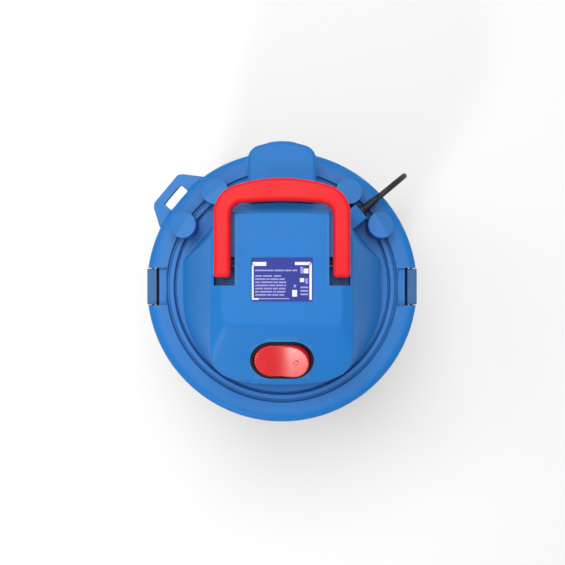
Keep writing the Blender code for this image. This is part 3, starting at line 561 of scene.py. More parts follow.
def lead_route():
    def up(height):
        return Vector((0, 0, height))

    out = ((0.0203, 0), (0.031, -0.0004), (0.051, -0.0054), (0.0656, -0.02))
    down = ((0, 0, 0.313), (0.0006, 0.0004, 0.25), (0.0008, 0.0006, 0.17), (0.0004, 0.0002, 0.1))
    flat = ((0, 0.04), (0.0054, 0.02), (0.02, 0.0058), (0.04, 0.0004), (0.08, 0), (0.1185, 0.001))
    before = [GLAND_POINT + CORD_DIR * reach + up(rise) for reach, rise in out]
    before += [DROP + Vector(offset) for offset in down]
    before += [DROP + RUN * reach + up(FLOOR_Z + rise) for reach, rise in flat]
    plug_dir = Vector((cos(PLUG_ANGLE), sin(PLUG_ANGLE), 0))
    after = [Vector((-0.0458, 0.2052, 0.0268)), Vector((-0.0545, 0.2016, 0.0165))]
    after += [PLUG_TIP - plug_dir * back for back in (0.008, 0.0006)]
    wound = coil_points()
    lead_in = smooth_route(before + [wound[0], wound[1]], 0.01)[:-1]
    tail = smooth_route([wound[-2], wound[-1]] + after, 0.006)[1:]
    return lead_in + wound[1:-1] + tail


route = lead_route()
lead = sweep("mains_lead", route, CORD_R, 14)
lead.data.shade_smooth()
piece(lead, None, "cord_rubber", CORD_RUBBER, "cord_drop", "cord_coil", "cord_tail")
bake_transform(lead)


def make_plug():
    """A flat two-pin plug with a ribbed grip. Its own frame has +X towards the pins."""
    place = placed(PLUG_TIP, PLUG_ANGLE)
    outline = [(0, -0.0042), (0.007, -0.0046), (0.013, -0.006), (0.016, -0.01), (0.0185, -0.0145)]
    outline += [(0.0225, -0.0172), (0.039, -0.0172)]
    body = settle(rounded(slab("plug_moulding", both_ways(outline), -0.0068, 0.0068, place), 0.0024, 4))
    grooves = []
    for i in range(4):
        x = 0.0245 + 0.003 * i
        for side in (-1, 1):
            corner = (x + 0.0012, side * 0.02, 0.01)
            grooves.append(box("groove", (x, side * 0.0166, -0.01), corner, place))
    cut(body, *grooves)
    rings = []
    for i in range(3):
        profile = [(0, 0.0012), (0.0052, 0.0012), (0.0052, 0), (0, 0)]
        rings.append(turned("ring", profile, 32, place @ along((1, 0, 0), (0.0015 + 0.0026 * i, 0, 0))))
    unite(body, *rings)
    smoothed(body, 35)
    piece(body, "tank", "cord_rubber", CORD_RUBBER, "plug_body")
    pins = []
    for name, y in (("left", 0.0093), ("right", -0.0093)):
        profile = [(0, 0.019), (0.0012, 0.0188), (0.0019, 0.0178), (0.002, 0.0165), (0.002, 0), (0, 0)]
        pin = turned("plug_blade_" + name, profile, 32, place @ along((1, 0, 0), (0.0393, y, 0)))
        pins.append(piece(smoothed(pin), "tank", "brass", BRASS, "plug_pin_" + name))
    return [body] + pins


def make_tie():
    """A hook-and-loop strap round the bundle, with its free end overlapped on top."""
    inner, outer, top, low = 0.0268, 0.0573, 0.0388, 0.0006
    loop = round_box((inner, low), (outer, top), 0.006, 8)
    thick = 0.0011
    centre = ((inner + outer) / 2, (top + low) / 2)
    bm = bmesh.new()
    rows = []
    for y in (-0.0068, 0.0068):
        for grow in (0, -thick):
            row = []
            for x, z in loop:
                sx = (x - centre[0]) * (1 + 2 * grow / (outer - inner))
                sz = (z - centre[1]) * (1 + 2 * grow / (top - low))
                row.append(bm.verts.new((centre[0] + sx, y, centre[1] + sz)))
            rows.append(row)
    skin(bm, [rows[0], rows[1], rows[3], rows[2]], closed=True)
    turn = placed(COIL_CENTRE, radians(285))
    strap = smoothed(rounded(add("tie_strap", bm, turn), 0.0003, 2, 40), 50)
    piece(strap, "tank", "black_plastic", BLACK, "cord_tie")
    flap_place = turn @ placed((0.042, 0, 0))
    flap = slab("tie_flap", stadium(0.021, 0.0126, 12), top, top + 0.0012, flap_place)
    piece(smoothed(rounded(flap, 0.0004, 2, 40), 50), "tank", "black_plastic", BLACK)
    return [strap, flap]


on_lead = make_plug() + make_tie()

# Floor, light and surroundings.
floor = box("floor", (-60, -60, -0.02), (60, 60, -0.0002))
floor_paint = Paint("pale_floor", roughness=0.9)
floor_tone = floor_paint.between(floor_paint.noise(1.2, 2), 0.3, 0.7, 0.94, 0.96)
floor_paint.set(floor_paint.shader, "Base Color", floor_tone)
floor.data.materials.append(floor_paint.material)


def softbox(name, place, aim, size, power):
    light = bpy.data.lights.new(name, "AREA")
    light.shape = "RECTANGLE"
    light.size, light.size_y = size
    light.energy = power
    linked(name, light).matrix_world = along(Vector(place) - Vector(aim), place)


softbox("top_light", (-0.25, 0.85, 2.55), (0, 0, 0.3), (1.4, 2.0), 32)
softbox("key_light", (-1.3, 0.5, 1.9), (0, 0, 0.3), (0.6, 0.6), 4)
softbox("front_light", (-0.6, -1.62, 1.56), (0, 0, 0.4), (0.28, 0.28), 10)
softbox("rear_light", (1.2, 2.0, 1.2), (0, 0, 0.25), (1.0, 0.7), 3)
world = bpy.data.worlds.new("studio")
bpy.context.scene.world = world
world.use_nodes = True
nodes, links = world.node_tree.nodes, world.node_tree.links
background = nodes["Background"]
height = nodes.new("ShaderNodeSeparateXYZ")
links.new(nodes.new("ShaderNodeTexCoord").outputs["Generated"], height.inputs[0])
ramp = nodes.new("ShaderNodeMapRange")
ramp.interpolation_type = "SMOOTHERSTEP"
for key, value in (("From Min", 0.0), ("From Max", 1.0), ("To Min", HORIZON_LIGHT), ("To Max", ZENITH_LIGHT)):
    ramp.inputs[key].default_value = value
links.new(height.outputs["Z"], ramp.inputs["Value"])
links.new(ramp.outputs[0], background.inputs["Strength"])
background.inputs["Color"].default_value = (1.0, 1.0, 1.0, 1)
bpy.context.scene.view_settings.view_transform = "Standard"


# Nodes that keep their CAD shape.
def dress(paint, width, *names):
    """Gives CAD nodes their paint and finely rounded edges."""
    for name in names:
        node = NODES[name]
        for layer in ("custom_normal", "sharp_edge", "sharp_face"):
            if layer in node.data.attributes:
                node.data.attributes.remove(node.data.attributes[layer])
        weld = node.modifiers.new("weld", "WELD")
        weld.merge_threshold = 0.00002
        planar = node.modifiers.new("planar", "DECIMATE")
        planar.decimate_type = "DISSOLVE"
        planar.angle_limit = radians(0.5)
        rounded(node, width, 2, 35)
        node.data.shade_smooth()
        node.modifiers.new("normals", "WEIGHTED_NORMAL").weight = 100
        node.data.materials.clear()
        node.data.materials.append(paint)


def castor_places():
    for row, y in (("front", -CASTOR_XY), ("rear", CASTOR_XY)):
        for side, x in (("left", -CASTOR_XY), ("right", CASTOR_XY)):
            yield f"{row}_{side}", x, y


CASTORS = [place for place, x, y in castor_places()]
dress(BLACK, 0.0006, *["castor_fork_" + place for place in CASTORS])
dress(BRIGHT, 0.0004, *["castor_axle_" + place for place in CASTORS])
dress(BRIGHT, 0.0003, *["housing_screw_" + place for place in CASTORS])
dress(DARK_STEEL, 0.0003, "rocker_pin", "handle_pin_left", "handle_pin_right")
dress(DARK_STEEL, 0.0003, "latch_pin_left", "latch_pin_right")
dress(LATCH_BLUE, 0.0005, "latch_left", "latch_right")
dress(RUBBER, 0.0004, "lid_gasket")
dress(BLACK, 0.0005, "inlet_locknut", "inlet_deflector", "filter_cage")
dress(BRIGHT, 0.0005, "motor_plate", "motor_frame", "motor_shaft", "fan_housing")
dress(BRIGHT, 0.0005, "lower_bearing", "upper_bearing")
dress(IRON, 0.0003, "stator_core")
dress(COPPER, 0.0004, "armature", "commutator")
dress(WHITE, 0.0003, "impeller")
dress(LABEL, 0.0001, "rating_label")


# Drum and base.
def make_drum():
    floor_top = DRUM_FLOOR_Z + DRUM_WALL
    corner = (DRUM_R - DRUM_CORNER_R, DRUM_FLOOR_Z + DRUM_CORNER_R)
    bead = arc((BEAD_R - 0.0035, DRUM_TOP_Z - 0.0035), 0.0035, 90, -90, 12)
    ribs = []
    for middle, out in ((0.287, 0.0015), (0.144, 0.001)):
        ribs += [(DRUM_R + out * cos(pi * k / 12) ** 2, middle - 0.0005 * k) for k in range(-6, 7)]
    profile = [(0, floor_top), (0.11, floor_top), *arc(corner, DRUM_CORNER_R - DRUM_WALL, -90, 0, 8)]
    profile += [(DRUM_R - DRUM_WALL, DRUM_TOP_Z - 0.001), (DRUM_R - DRUM_WALL + 0.001, DRUM_TOP_Z), *bead]
    profile += [(DRUM_R, DRUM_TOP_Z - 0.007), *sorted(ribs, key=lambda p: -p[1])]
    profile += [*arc(corner, DRUM_CORNER_R, 0, -90, 8), (0, DRUM_FLOOR_Z)]
    drum = turned("steel_drum", profile, 160)
    hole = rod("inlet_hole", 0.0235, (0, -0.13, INLET_Z), (0, -0.18, INLET_Z), 64)
    cut(drum, hole)
    piece(smoothed(drum, 50), "tank", "drum_steel", STEEL, "tank_shell")
    seam = box("drum_seam", (-0.0012, DRUM_R - 0.0006, 0.1195), (0.0012, DRUM_R + 0.0004, 0.3105))
    piece(smoothed(rounded(seam, 0.0004, 3)), "tank", "drum_steel", BRIGHT)


def make_base():
    plate_top = BASE_Z + 0.003
    skirt = DRUM_R + 0.0005
    rib_r, rib_top = 0.1, DRUM_FLOOR_Z - GAP
    foot, groove = plate_top + 0.003, BASE_R - 0.0012
    profile = [(0, plate_top), (rib_r, plate_top), (rib_r, rib_top), (rib_r + 0.003, rib_top)]
    profile += [(rib_r + 0.003, plate_top), (skirt - 0.003, plate_top), (skirt, foot), (skirt, 0.118)]
    profile += [(skirt + 0.0033, 0.118), (BASE_R - 0.0006, 0.1085), (BASE_R, 0.107)]
    for z in (0.0915, 0.0705):
        profile += [(BASE_R, z + 0.002), (groove, z + 0.001), (groove, z - 0.001), (BASE_R, z - 0.002)]
    profile += [(BASE_R, BASE_Z + 0.006), (BASE_R - 0.0018, BASE_Z + 0.0018)]
    profile += [(BASE_R - 0.006, BASE_Z), (0, BASE_Z)]
    base = turned("drum_base", profile, 144)
    bosses, sockets = [], []
    for place, x, y in castor_places():
        bosses.append(rod("boss", 0.009, (x, y, BASE_Z + 0.001), (x, y, 0.0755), 32))
        sockets.append(rod("socket", 0.0045, (x, y, BASE_Z - 0.01), (x, y, 0.0732), 24))
    unite(base, *bosses)
    cut(base, *sockets)
    piece(smoothed(rounded(base, 0.0005, 2)), "tank", "black_plastic", BLACK, "castor_base")
    ring = [(0.015, 0.0555), (0.0142, 0.0547), (0.0118, 0.0547), (0.0118, 0.0555)]
    for place, x, y in castor_places():
        pad = turned("castor_socket_ring_" + place, ring, 48, placed((x, y, 0)))
        piece(smoothed(rounded(pad, 0.0002, 2)), "tank", "black_plastic", BLACK)


def make_wheels():
    tread = [(0.015, 0.0072), (0.0176, 0.0079), (0.0194, 0.0073), (0.0205, 0.0058), (WHEEL_R, 0.004)]
    tread += [(WHEEL_R, 0.0026), (0.0204, 0.0021), (0.0204, 0.0014), (WHEEL_R, 0.0009)]
    face = [(0.003, 0.0085), (0.0068, 0.0085), (0.008, 0.006)]
    face += [(0.0126, 0.0056), (0.0138, 0.0071), (0.0151, 0.0074)]
    for place, x, y in castor_places():
        axle = along((1, 0, 0), (x, y + CASTOR_TRAIL, WHEEL_R))
        tyre = turned("tyre_" + place, both_ways(tread), 72, axle)
        hub = turned("hub_" + place, both_ways(face), 60, axle)
        holes = []
        for k in range(6):
            turn = tau * k / 6
            at = (0.0103 * cos(turn), 0.0103 * sin(turn))
            hole = rod("hole", 0.0016, (*at, -0.02), (*at, 0.02), 16)
            hole.data.transform(axle)
            holes.append(hole)
        cut(hub, *holes)
        body = "wheel_" + place
        piece(smoothed(rounded(tyre, 0.0003, 2), 50), body, "wheel_rubber", RUBBER, "castor_" + body)
        piece(smoothed(rounded(hub, 0.0003, 2)), body, "wheel_rubber", HUB)


def screw_head(name, radius, height, place):
    """A domed head with a cross recess, standing on z 0."""
    dome = [(radius * r, height * z) for r, z in ((0, 1), (0.45, 0.97), (0.8, 0.75), (1, 0.25))]
    head = turned(name, [*dome, (radius, -0.0002), (0, -0.0002)], 36)
    long, wide = radius * 0.55, radius * 0.13
    across = box("across", (-long, -wide, height * 0.35), (long, wide, height + 0.001))
    down = box("down", (-wide, -long, height * 0.35), (wide, long, height + 0.001))
    cut(head, across, down)
    head.data.transform(place)
    return smoothed(head, 35)


def make_inlet():
    # Heights run along -Y, from the drum's axis outwards.
    end, flange, back, spigot = -INLET_END_Y, 0.1665, 0.145, 0.1385
    lip_r, flange_r = 0.026, 0.0345
    outside = [(0.0235, end), (0.025, end - 0.0003), (0.0258, end - 0.0012), (lip_r, end - 0.0025)]
    outside += [(lip_r, flange), (0.033, flange), (0.0342, flange - 0.0008), (flange_r, flange - 0.002)]
    outside += [(flange_r, back), (INLET_BORE_R, back)]
    outside += [(INLET_BORE_R, end - 0.0015), (INLET_BORE_R + 0.0015, end)]
    place = along((0, -1, 0), (0, 0, INLET_Z))
    inlet = turned("hose_inlet", outside, 96, place)
    drum_space = rod("drum_space", DRUM_R + 2 * GAP, (0, 0, 0.15), (0, 0, 0.32), 160)
    ring = [(0.023, 0.163), (0.023, spigot), (INLET_BORE_R, spigot), (INLET_BORE_R, 0.163)]
    cut(inlet, drum_space)
    unite(inlet, turned("spigot", ring, 96, place))
    lugs = []
    for k in range(12):
        turn = place @ Matrix.Rotation(tau * k / 12, 4, "Z")
        lugs.append(box("lug", (0.0255, -0.0011, 0.166), (0.0271, 0.0011, 0.1712), turn))
    unite(inlet, *lugs)
    piece(smoothed(rounded(inlet, 0.0004, 2)), "tank", "black_plastic", BLACK, "suction_inlet")
    for k in range(4):
        turn = place @ Matrix.Rotation(tau * (k + 0.5) / 4, 4, "Z")
        spot = turn @ placed((0.03, 0, flange))
        head = screw_head(f"inlet_screw_{k + 1}", 0.0023, 0.0011, spot)
        piece(head, "tank", "bright_steel", BRIGHT)


# Lid.
def post_places():
    """Directions from the lid's middle to its four posts."""
    for sign in (1, -1):
        for angle in POST_ANGLES:
            turn = sign * radians(angle)
            yield Vector((sin(turn), cos(turn), 0))


def screw_places():
    """Where the four screws hold the housing to the lid."""
    for sign in (1, -1):
        yield sign * 0.1095, -0.045
        yield sign * 0.101, 0.045


def make_lid():
    rim_in, rim_low, ceiling, channel = 0.165, 0.3085, 0.331, 0.3338
    skirt, well_under = WELL_R + 0.0035, WELL_FLOOR_Z - 0.003
    profile = [(0.16, RIM_DECK_Z), (0.163, 0.3363), (0.1655, 0.3353), (0.1674, 0.334), (0.1688, 0.3323)]
    profile += [(0.1697, 0.3304), (RIM_R, 0.3285), (RIM_R, 0.3115), (0.1696, 0.3098), (0.1685, 0.3087)]
    profile += [(0.1672, rim_low), (rim_in, rim_low), (rim_in, 0.3205), (0.15, 0.3205), (0.148, ceiling)]
    profile += [(skirt, ceiling), (skirt, well_under), (INTAKE_R, well_under), (INTAKE_R, WELL_FLOOR_Z)]
    profile += [(WELL_R, WELL_FLOOR_Z), (WELL_R, DECK_Z), (0.1315, DECK_Z), (0.1325, channel)]
    profile += [(0.1335, channel), (0.1352, 0.3385), (0.1398, 0.3385), (0.1418, channel)]
    profile += [(0.1432, channel), (0.145, RIM_DECK_Z)]
    lid = turned("lid_moulding", profile, 168)
    tip, root, tip_r, root_r = 0.027, 0.042, 0.191, 0.152
    outline = [(root_r, -root), (0.1655, -root), (tip_r - 0.004, -tip - 0.001), (tip_r, -tip + 0.004)]
    tab = slab("tab", both_ways(outline), 0.3215, 0.3305, Matrix.Rotation(TAB_ANGLE, 4, "Z"))
    unions = [settle(rounded(tab, 0.0015, 3))]
    for out in post_places():
        foot, top = [out * POST_RING_R + Vector((0, 0, z)) for z in (0.333, POST_TOP_Z)]
        post = rod("post", POST_R, foot, top, 64)
        slope = placed(top, atan2(out.y, out.x)) @ Matrix.Rotation(POST_SLOPE, 4, "Y")
        wedge = box("wedge", (0, -0.03, 0), (0.04, 0.03, 0.03), slope)
        unions.append(cut(post, wedge))
    unite(lid, *unions)
    cuts = [box("hood_seat", (-0.0415, 0.118, 0.3363), (0.0415, 0.16, 0.35))]
    out = Vector((cos(TAB_ANGLE), sin(TAB_ANGLE), 0))
    slot = round_box((-0.0065, -0.016), (0.0065, 0.016), 0.002, 5)
    cuts.append(slab("tab_slot", slot, 0.3, 0.35, placed(out * 0.174, TAB_ANGLE)))
    for sign in (1, -1):
        x, z = sign * LATCH_PIN[0], LATCH_PIN[1]
        cuts.append(rod("latch_bore", 0.0019, (x, -0.0281, z), (x, 0.0281, z), 16))
        notch = LATCH_HALF + 0.001
        recess = notch - 0.0006
        cuts.append(box("notch", (sign * 0.1538, -notch, 0.3), (sign * 0.176, notch, 0.345)))
        cuts.append(box("recess", (sign * 0.144, -recess, 0.333), (sign * 0.156, recess, 0.346)))
    for x, y in screw_places():
        cuts.append(rod("screw_hole", 0.0019, (x, y, 0.32), (x, y, 0.345), 24))
    cut(lid, *cuts)
    piece(smoothed(rounded(lid, 0.0006, 3, 28)), "head", "blue_plastic", BLUE, "lid_shell")


# Motor housing.
def mirrored(points, height=None):
    """A loop from the points of its right half, which starts and ends on the middle line."""
    half = [(x, y, z if height is None else height) for x, y, z in points]
    return half + [(-x, y, z) for x, y, z in reversed(half[1:-1])]


def inset(points, amount):
    """Points moved towards the middle of the housing."""
    moved = []
    for x, y, z in points:
        middle_y = max(min(y, 0.03), -0.04)
        reach = hypot(x, y - middle_y)
        keep = (reach - amount) / reach if reach > amount else 1
        moved.append((x * keep, middle_y + (y - middle_y) * keep, z))
    return moved


def finer(points, count=4, curved=8):
    """More points on a half loop: smoothly curved along its first stretches, straight beyond them."""
    x, y, z = points[1]
    ends = [Vector((-x, y, z))] + [Vector(point) for point in points] + [Vector(points[-1])]
    made = []
    for i, four in enumerate(zip(ends, ends[1:], ends[2:], ends[3:])):
        for t in [k / count for k in range(count)]:
            made.append(tuple(curve_point(*four, t) if i < curved else four[1].lerp(four[2], t)))
    return made + [points[-1]]


def on_slope(x, y):
    return (x, y, SLOPE_FOOT[1] + (y - SLOPE_FOOT[0]) * tan(SLOPE_ANGLE))


def switch_place():
    """The switch's own frame lies on the front slope, with +Z out of it."""
    return placed(SWITCH_CENTRE, SLOPE_ANGLE, "X")


# Right halves of the housing's loops, from the front round to the back.
FOOT = [(0, -0.124), (0.03, -0.1222), (0.058, -0.1165), (0.081, -0.103), (0.0965, -0.087)]
FOOT += [(0.109, -0.069), (0.118, -0.048), (0.1225, -0.024), (0.123, 0.005), (0.123, 0.032)]
FOOT += [(0.092, 0.068), (0.074, 0.093), (0.063, 0.0995), (0, 0.1)]
FOOT = [(x, y, 0) for x, y in FOOT]
FRONT = ((0, -0.1135), (0.028, -0.1127), (0.053, -0.109), (0.072, -0.1), (0.08, -0.0865))
SHOULDER = [on_slope(x, y) for x, y in FRONT]
SHOULDER += [(0.0815, -0.072, 0.4095), (0.0815, -0.056, 0.414), (0.081, -0.035, 0.417)]
SHOULDER += [(0.08, 0.005, 0.4175), (0.08, 0.056, 0.4175), (0.076, 0.07, 0.416)]
SHOULDER += [(0.068, 0.087, 0.408), (0.06, 0.095, 0.402), (0, 0.098, 0.4)]
PLATEAU = [(x, SLOPE_TOP_Y) for x in (0, 0.023, 0.043, 0.058)]
PLATEAU += [(0.063, -0.042), (0.066, -0.04), (0.0678, -0.035), (0.068, -0.025), (0.068, 0.005)]
PLATEAU += [(0.068, 0.05), (0.066, 0.064), (0.06, 0.077), (0.052, 0.083), (0, 0.084)]
PLATEAU = [(x, y, 0) for x, y in PLATEAU]


def make_housing():
    foot_z, wall_z, ceiling_z = 0.336, 0.349, 0.4
    wall = finer([(x, y, wall_z) for x, y, z in inset(FOOT, 0.0015)])
    shoulder = finer(SHOULDER)
    outside = [mirrored(finer(FOOT), foot_z)]
    for t in (0, 0.25, 0.5, 0.75, 1):
        outside.append(mirrored([Vector(low).lerp(Vector(high), t) for low, high in zip(wall, shoulder)]))
    housing = loft("housing_moulding", outside + [mirrored(finer(PLATEAU), PLATEAU_Z)])
    settle(rounded(housing, 0.0024, 4, 14))
    inner_shoulder = [
        (x * 1.055, y, min(z - 0.005, ceiling_z)) if z > ceiling_z + 0.004 else (x, y, z - 0.004)
        for x, y, z in inset(SHOULDER, 0.0035)
    ]
    inside = [mirrored(inset(FOOT, 0.0035), foot_z - 0.01), mirrored(inset(FOOT, 0.0045), wall_z)]
    inside += [mirrored(inner_shoulder), mirrored(inset(PLATEAU, 0.005), ceiling_z + 0.0005)]
    low_z, roof_z, rear = 0.37, 0.4205, -0.004
    front = [(-0.104, low_z), (-0.104, 0.3905), (SLOPE_TOP_Y - 0.001, roof_z), (rear, roof_z), (rear, low_z)]
    cuts = [loft("hollow", inside), slab("front_hollow", front, -0.06, 0.06, SIDEWAYS)]
    cuts.append(box("middle_hollow", (-0.043, -0.01, 0.39), (0.043, 0.076, roof_z)))
    cut(housing, *cuts)
    bosses = [rod("boss", 0.0044, (x, y, foot_z), (x, y, 0.3525), 32) for x, y in screw_places()]
    boss_place = placed(GLAND_POINT, CORD_ANGLE)
    gland_boss = box("gland_boss", (-0.036, -0.011, foot_z - 0.353), (-0.0065, 0.011, 0.013), boss_place)
    unite(housing, *bosses, settle(rounded(gland_boss, 0.002, 4)))
    cuts = [rod("bore", 0.0018, (x, y, 0.32), (x, y, 0.349), 24) for x, y in screw_places()]
    cuts.append(rod("gland_bore", 0.0063, GLAND_POINT - CORD_DIR * 0.05, GLAND_POINT, 40))
    cuts.append(rod("port_hole", 0.016, (0, 0.08, PORT_Z), (0, 0.11, PORT_Z), 64))
    opening = stadium(BEZEL_SIZE[0] + 2 * GAP, BEZEL_SIZE[1] + 2 * GAP)
    cuts.append(slab("switch_opening", opening, -0.04, 0.02, switch_place()))
    pocket_in, pocket_out, pocket_end, pocket_rear = 0.053, 0.0772, 0.0015, 0.034
    for sign in (1, -1):
        inner, outer = sign * pocket_in, sign * pocket_out
        cuts.append(box("leg_pocket", (inner, pocket_end, 0.404), (outer, pocket_rear, 0.44)))
        cuts.append(box("leg_seat", (inner, pocket_rear - 0.002, 0.4195), (sign * 0.1, 0.13, 0.44)))
        start = Vector((sign * 0.0475, HANDLE_PIVOT.y, HANDLE_PIVOT.z))
        cuts.append(rod("pivot_bore", HANDLE_BORE_R, start, (sign * 0.06, start.y, start.z), 32))
    cut(housing, *cuts)
    gridded(housing, 0.0083)
    piece(smoothed(rounded(housing, 0.0005, 2, 38), 32), "head", "blue_plastic", BLUE, "motor_housing")


def make_hood():
    corner_r, turn = 0.018, 72
    end_x = HOOD_HALF - corner_r + corner_r * cos(radians(turn))
    bow_r = end_x / cos(radians(turn))
    rise = bow_r * (1 - sin(radians(turn)))
    corner_y = HOOD_END_Y - rise - corner_r * sin(radians(turn))
    right = [(HOOD_HALF, 0.1012)] + arc((HOOD_HALF - corner_r, corner_y), corner_r, 0, turn, 14)
    right += arc((0, HOOD_END_Y - bow_r), bow_r, turn, 90, 8)[1:]
    outline = right + flipped(right[:-1])
    hood = settle(rounded(slab("blower_hood", outline, 0.3368, HOOD_TOP_Z), 0.005, 6, 40))
    cut(hood, rod("port_bore", PORT_R, (0, 0.09, PORT_Z), (0, 0.19, PORT_Z), 96))
    piece(smoothed(rounded(hood, 0.0005, 3, 50)), "head", "blue_plastic", BLUE, "exhaust_hood")
    collar = [(0.0174, 0.1705), (0.0174, 0.1735), (0.0196, 0.1735), (0.0204, 0.1727), (0.0206, 0.1705)]
    ring = turned("port_collar", collar, 96, along((0, 1, 0), (0, 0, PORT_Z)))
    piece(smoothed(rounded(ring, 0.0002, 2)), "head", "blue_plastic", BLUE)


def make_label_print():
    """Generic bars and blocks, not lettering. Places run from 0 to 1, from the label's top left corner."""
    white = [(0.025, 0.1, 0.245, 0.19), (0.71, 0.1, 0.965, 0.17), (0.012, 0.17, 0.04, 0.965)]
    white += [(0.945, 0.13, 0.985, 0.965), (0.665, 0.74, 0.745, 0.89), (0.85, 0.25, 0.93, 0.36)]
    white += [(0.79, 0.47, 0.86, 0.56), (0.04, 0.925, 0.12, 0.965)]
    lilac = [(0.8, 0.21, 0.84, 0.36), (0.88, 0.47, 0.92, 0.6), (0.8, 0.66, 0.925, 0.7)]
    lilac += [(0.8, 0.74, 0.925, 0.78), (0.8, 0.82, 0.925, 0.86), (0.12, 0.925, 0.62, 0.95)]
    lilac += [(0.69, 0.62, 0.73, 0.68)]
    dashes = [(0.3, 0.16, 0.1, 0.08), (0.11, 0.15, 0.0, 0.12), (0.17, 0.05, 0.13, 0.09)]
    dashes += [(0.08, 0.19, 0.07, 0.12), (0.21, 0.1, 0.12, 0.03), (0.13, 0.13, 0.08, 0.11)]
    dashes += [(0.06, 0.2, 0.05, 0.14), (0.18, 0.07, 0.1, 0.08)]
    for row, lengths in enumerate(dashes):
        u, v = 0.065, 0.33 + row * 0.072 if row else 0.275
        for length in lengths:
            if length:
                lilac.append((u, v, u + length, v + 0.036))
            u += length + 0.014
    left, top, width, depth = -0.0345, 0.033, 0.069, 0.049
    low_z, high_z = PLATEAU_Z + 0.00075, PLATEAU_Z + 0.00086
    for name, places, paint in (("white", white, INK_WHITE), ("lilac", lilac, INK_LILAC)):
        bars = []
        for u0, v0, u1, v1 in places:
            low = (left + u0 * width, top - v1 * depth, low_z)
            bars.append(box("bar", low, (left + u1 * width, top - v0 * depth, high_z)))
        piece(merge("label_print_" + name, *bars), "head", "label_film", paint)


# Switch, handle and latch grips.
def make_switch():
    place = switch_place()
    inner = (ROCKER_SIZE[0] + 0.0016, ROCKER_SIZE[1] + 0.0016)
    bezel = slab("switch_surround", stadium(*BEZEL_SIZE, 32), -0.016, 0.0008)
    half_pin = ROCKER_SIZE[1] / 2 + 0.0022
    well = slab("well", stadium(*inner, 32), -0.014, 0.01)
    bore = rod("bore", ROCKER_BORE_R, (0, -half_pin, ROCKER_PIVOT_Z), (0, half_pin, ROCKER_PIVOT_Z), 16)
    cut(bezel, well, bore)
    bezel.data.transform(place)
    piece(smoothed(rounded(bezel, 0.0004, 3)), "head", "black_plastic", BEZEL_BLACK, "switch_bezel")
    tilted = place @ placed((0, 0, ROCKER_PIVOT_Z), -ROCKER_TILT, "Y")
    bm = bmesh.new()
    levels, cap_z = [], 0.0025
    for z, scale in ((-0.004, 1.0), (0.0, 1.0), (cap_z, 0.97)):
        levels.append([bm.verts.new((x * scale, y, z)) for x, y in stadium(*ROCKER_SIZE, 32)])
    skin(bm, levels, caps=True)
    whole = list(bm.verts) + list(bm.edges) + list(bm.faces)
    bmesh.ops.bisect_plane(bm, geom=whole, plane_co=(0, 0, 0), plane_no=(1, 0, 0))
    for vert in bm.verts:
        if vert.co.z > 0.001:
            vert.co.z += abs(vert.co.x) * tan(ROCKER_TILT)
        vert.co.z -= ROCKER_PIVOT_Z
    rocker = settle(rounded(add("rocker_cap", bm), 0.0012, 4, 40))
    cut(rocker, rod("rocker_bore", ROCKER_BORE_R, (0, -0.03, 0), (0, 0.03, 0), 16))
    rocker.data.transform(tilted)
    piece(smoothed(rocker, 40), "rocker", "red_plastic", ROCKER_RED, "switch_rocker")
    mark_x, thick = 0.0165, 0.0003
    bar = [(y, x) for x, y in stadium(0.0072, 0.0014, 8)][::-1]
    ring = [(0.0036, -thick), (0.0036, thick), (0.0024, thick), (0.0024, -thick)]
    marks = (slab("rocker_mark_on", bar, -thick, thick), turned("rocker_mark_off", ring, 40))
    for x, mark in zip((-mark_x, mark_x), marks):
        top = Vector((x, 0, cap_z - ROCKER_PIVOT_Z + mark_x * tan(ROCKER_TILT)))
        mark.data.transform(tilted @ placed(top, -copysign(ROCKER_TILT, x), "Y"))
        piece(smoothed(rounded(mark, 0.0001, 2)), "rocker", "red_plastic", ROCKER_RED)


def bow(start, turn):
    """The points between a corner's end and its mirror image, on the arc that leaves the corner smoothly."""
    radius = start[0] / cos(radians(turn))
    centre_y = start[1] - radius * sin(radians(turn))
    return arc((0, centre_y), radius, turn, 180 - turn, 24)[1:-1]


def make_handle():
    outer_r, outer_turn, inner_r, inner_turn = 0.032, 72, 0.014, 85
    leg_in = HANDLE_HALF - HANDLE_LEG
    right_out = [(HANDLE_HALF, LEG_END_Y)] + arc((HANDLE_HALF - outer_r, 0.0823), outer_r, 0, outer_turn, 18)
    right_in = [(leg_in, LEG_END_Y)] + arc((leg_in - inner_r, 0.0799), inner_r, 0, inner_turn, 16)
    outside = right_out + bow(right_out[-1], outer_turn) + flipped(right_out)
    inside = right_in + bow(right_in[-1], inner_turn) + flipped(right_in)
    handle = slab("red_handle", outside + list(reversed(inside)), *HANDLE_Z)
    settle(rounded(handle, 0.0045, 6, 40))
    pivot, eye_r = HANDLE_PIVOT, 0.007
    webs, bores = [], []
    for sign in (1, -1):
        lug_in, lug_out = sign * (leg_in + 0.002), sign * (HANDLE_HALF - 0.002)
        webs.append(rod("eye", eye_r, (lug_in, pivot.y, pivot.z), (lug_out, pivot.y, pivot.z), 48))
        webs.append(box("web", (lug_in, pivot.y - eye_r, pivot.z), (lug_out, pivot.y + eye_r, 0.428)))
        ends = [(sign * reach, pivot.y, pivot.z) for reach in (0.05, 0.083)]
        bores.append(rod("eye_bore", HANDLE_BORE_R, *ends, 32))
    unite(handle, *webs)
    cut(handle, *bores)
    piece(smoothed(rounded(handle, 0.0004, 2, 50)), "handle", "red_plastic", HANDLE_RED, "carry_handle")


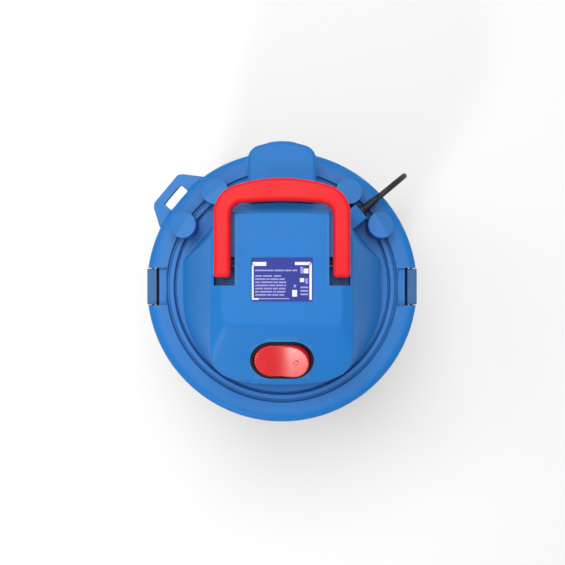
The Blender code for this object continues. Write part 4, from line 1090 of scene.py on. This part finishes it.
def make_latch_grips():
    for side, sign in (("right", 1), ("left", -1)):
        ridges = []
        for k in range(5):
            z = 0.2765 + 0.0042 * k
            line = [(sign * 0.1686, y, z) for y in (-0.0175, -0.0168, 0.0168, 0.0175)]
            ridges.append(sweep("ridge", line, [0.0004, 0.0009, 0.0009, 0.0004], 12))
        grips = merge("latch_grip_" + side, *ridges)
        piece(smoothed(grips, 60), side + "_latch", "latch_plastic", LATCH_BLUE)


# Motor, filter and lead ends.
def make_inner_pieces():
    sleeve_r, rows, pitch = 0.048, 31, 0.00272
    profile = [(sleeve_r, 0.2085 + pitch * k) for k in range(rows)]
    profile += [(0.0345, 0.29 - pitch * k) for k in range(rows)]
    wall = turned("foam_sleeve", profile, 120)
    for vert in wall.data.vertices:
        turn = atan2(vert.co.y, vert.co.x)
        if hypot(vert.co.x, vert.co.y) > 0.04:
            sag = 0.0004 * sin(5 * turn + 40 * vert.co.z) + 0.0003 * sin(11 * turn - 90 * vert.co.z)
            vert.co.xy *= 1 + (sag - 0.0004) / sleeve_r
    rounded(wall, 0.0012, 3, 60)
    piece(smoothed(wall, 60), "head", "foam", FOAM, "foam_filter")
    float_z = 0.2278
    ball = turned("float_sphere", [(r, z + float_z) for r, z in arc((0, 0), 0.02, 90, -90, 32)], 56)
    for vert in ball.data.vertices:
        if abs(vert.co.z - float_z) < 0.0003:
            vert.co.xy *= 1.004
    piece(smoothed(ball, 60), "float_valve", "white_plastic", WHITE, "float_ball")
    middle_r, half_width = 0.036, 0.0048
    for name, z, height in (("upper", 0.3826, 0.004), ("lower", 0.3418, 0.0016)):
        ring = arc((middle_r, z), height, 0, 345, 16)
        ring = [(middle_r + (r - middle_r) * half_width / height, h) for r, h in ring]
        winding = turned(name + "_field_winding", ring, 96)
        for vert in winding.data.vertices:
            turn = atan2(vert.co.y, vert.co.x)
            vert.co.z += 0.0003 * sin(12 * turn)
        piece(smoothed(winding, 60), "head", "copper", COPPER)


def make_gland():
    """The strain relief: a collar against the housing and a tapered sleeve with rings."""
    profile = [(0.0, 0.02), (0.004, 0.02), (0.0043, 0.0196)]
    for k in range(6):
        s = 0.0176 - 0.0034 * k
        radius = 0.0044 + 0.0018 * (0.02 - s) / 0.0235
        neck = radius - 0.0009
        profile += [(radius, s + 0.0012), (radius, s), (neck, s - 0.0004), (neck, s - 0.0016)]
    profile += [(0.0062, -0.003), (0.0062, -0.0035), (0.0082, -0.0036), (0.0086, -0.0041), (0.0086, -0.0058)]
    profile += [(0.0082, -0.0062), (0.006, -0.0062), (0.006, -0.03), (0.0, -0.03)]
    sleeve = turned("strain_relief", profile, 48, along(CORD_DIR, GLAND_POINT))
    piece(smoothed(sleeve, 45), "head", "cord_rubber", CORD_RUBBER, "cord_gland")


make_drum()
make_base()
make_wheels()
make_inlet()
make_lid()
make_housing()
make_hood()
make_label_print()
make_switch()
make_handle()
make_latch_grips()
make_inner_pieces()
make_gland()
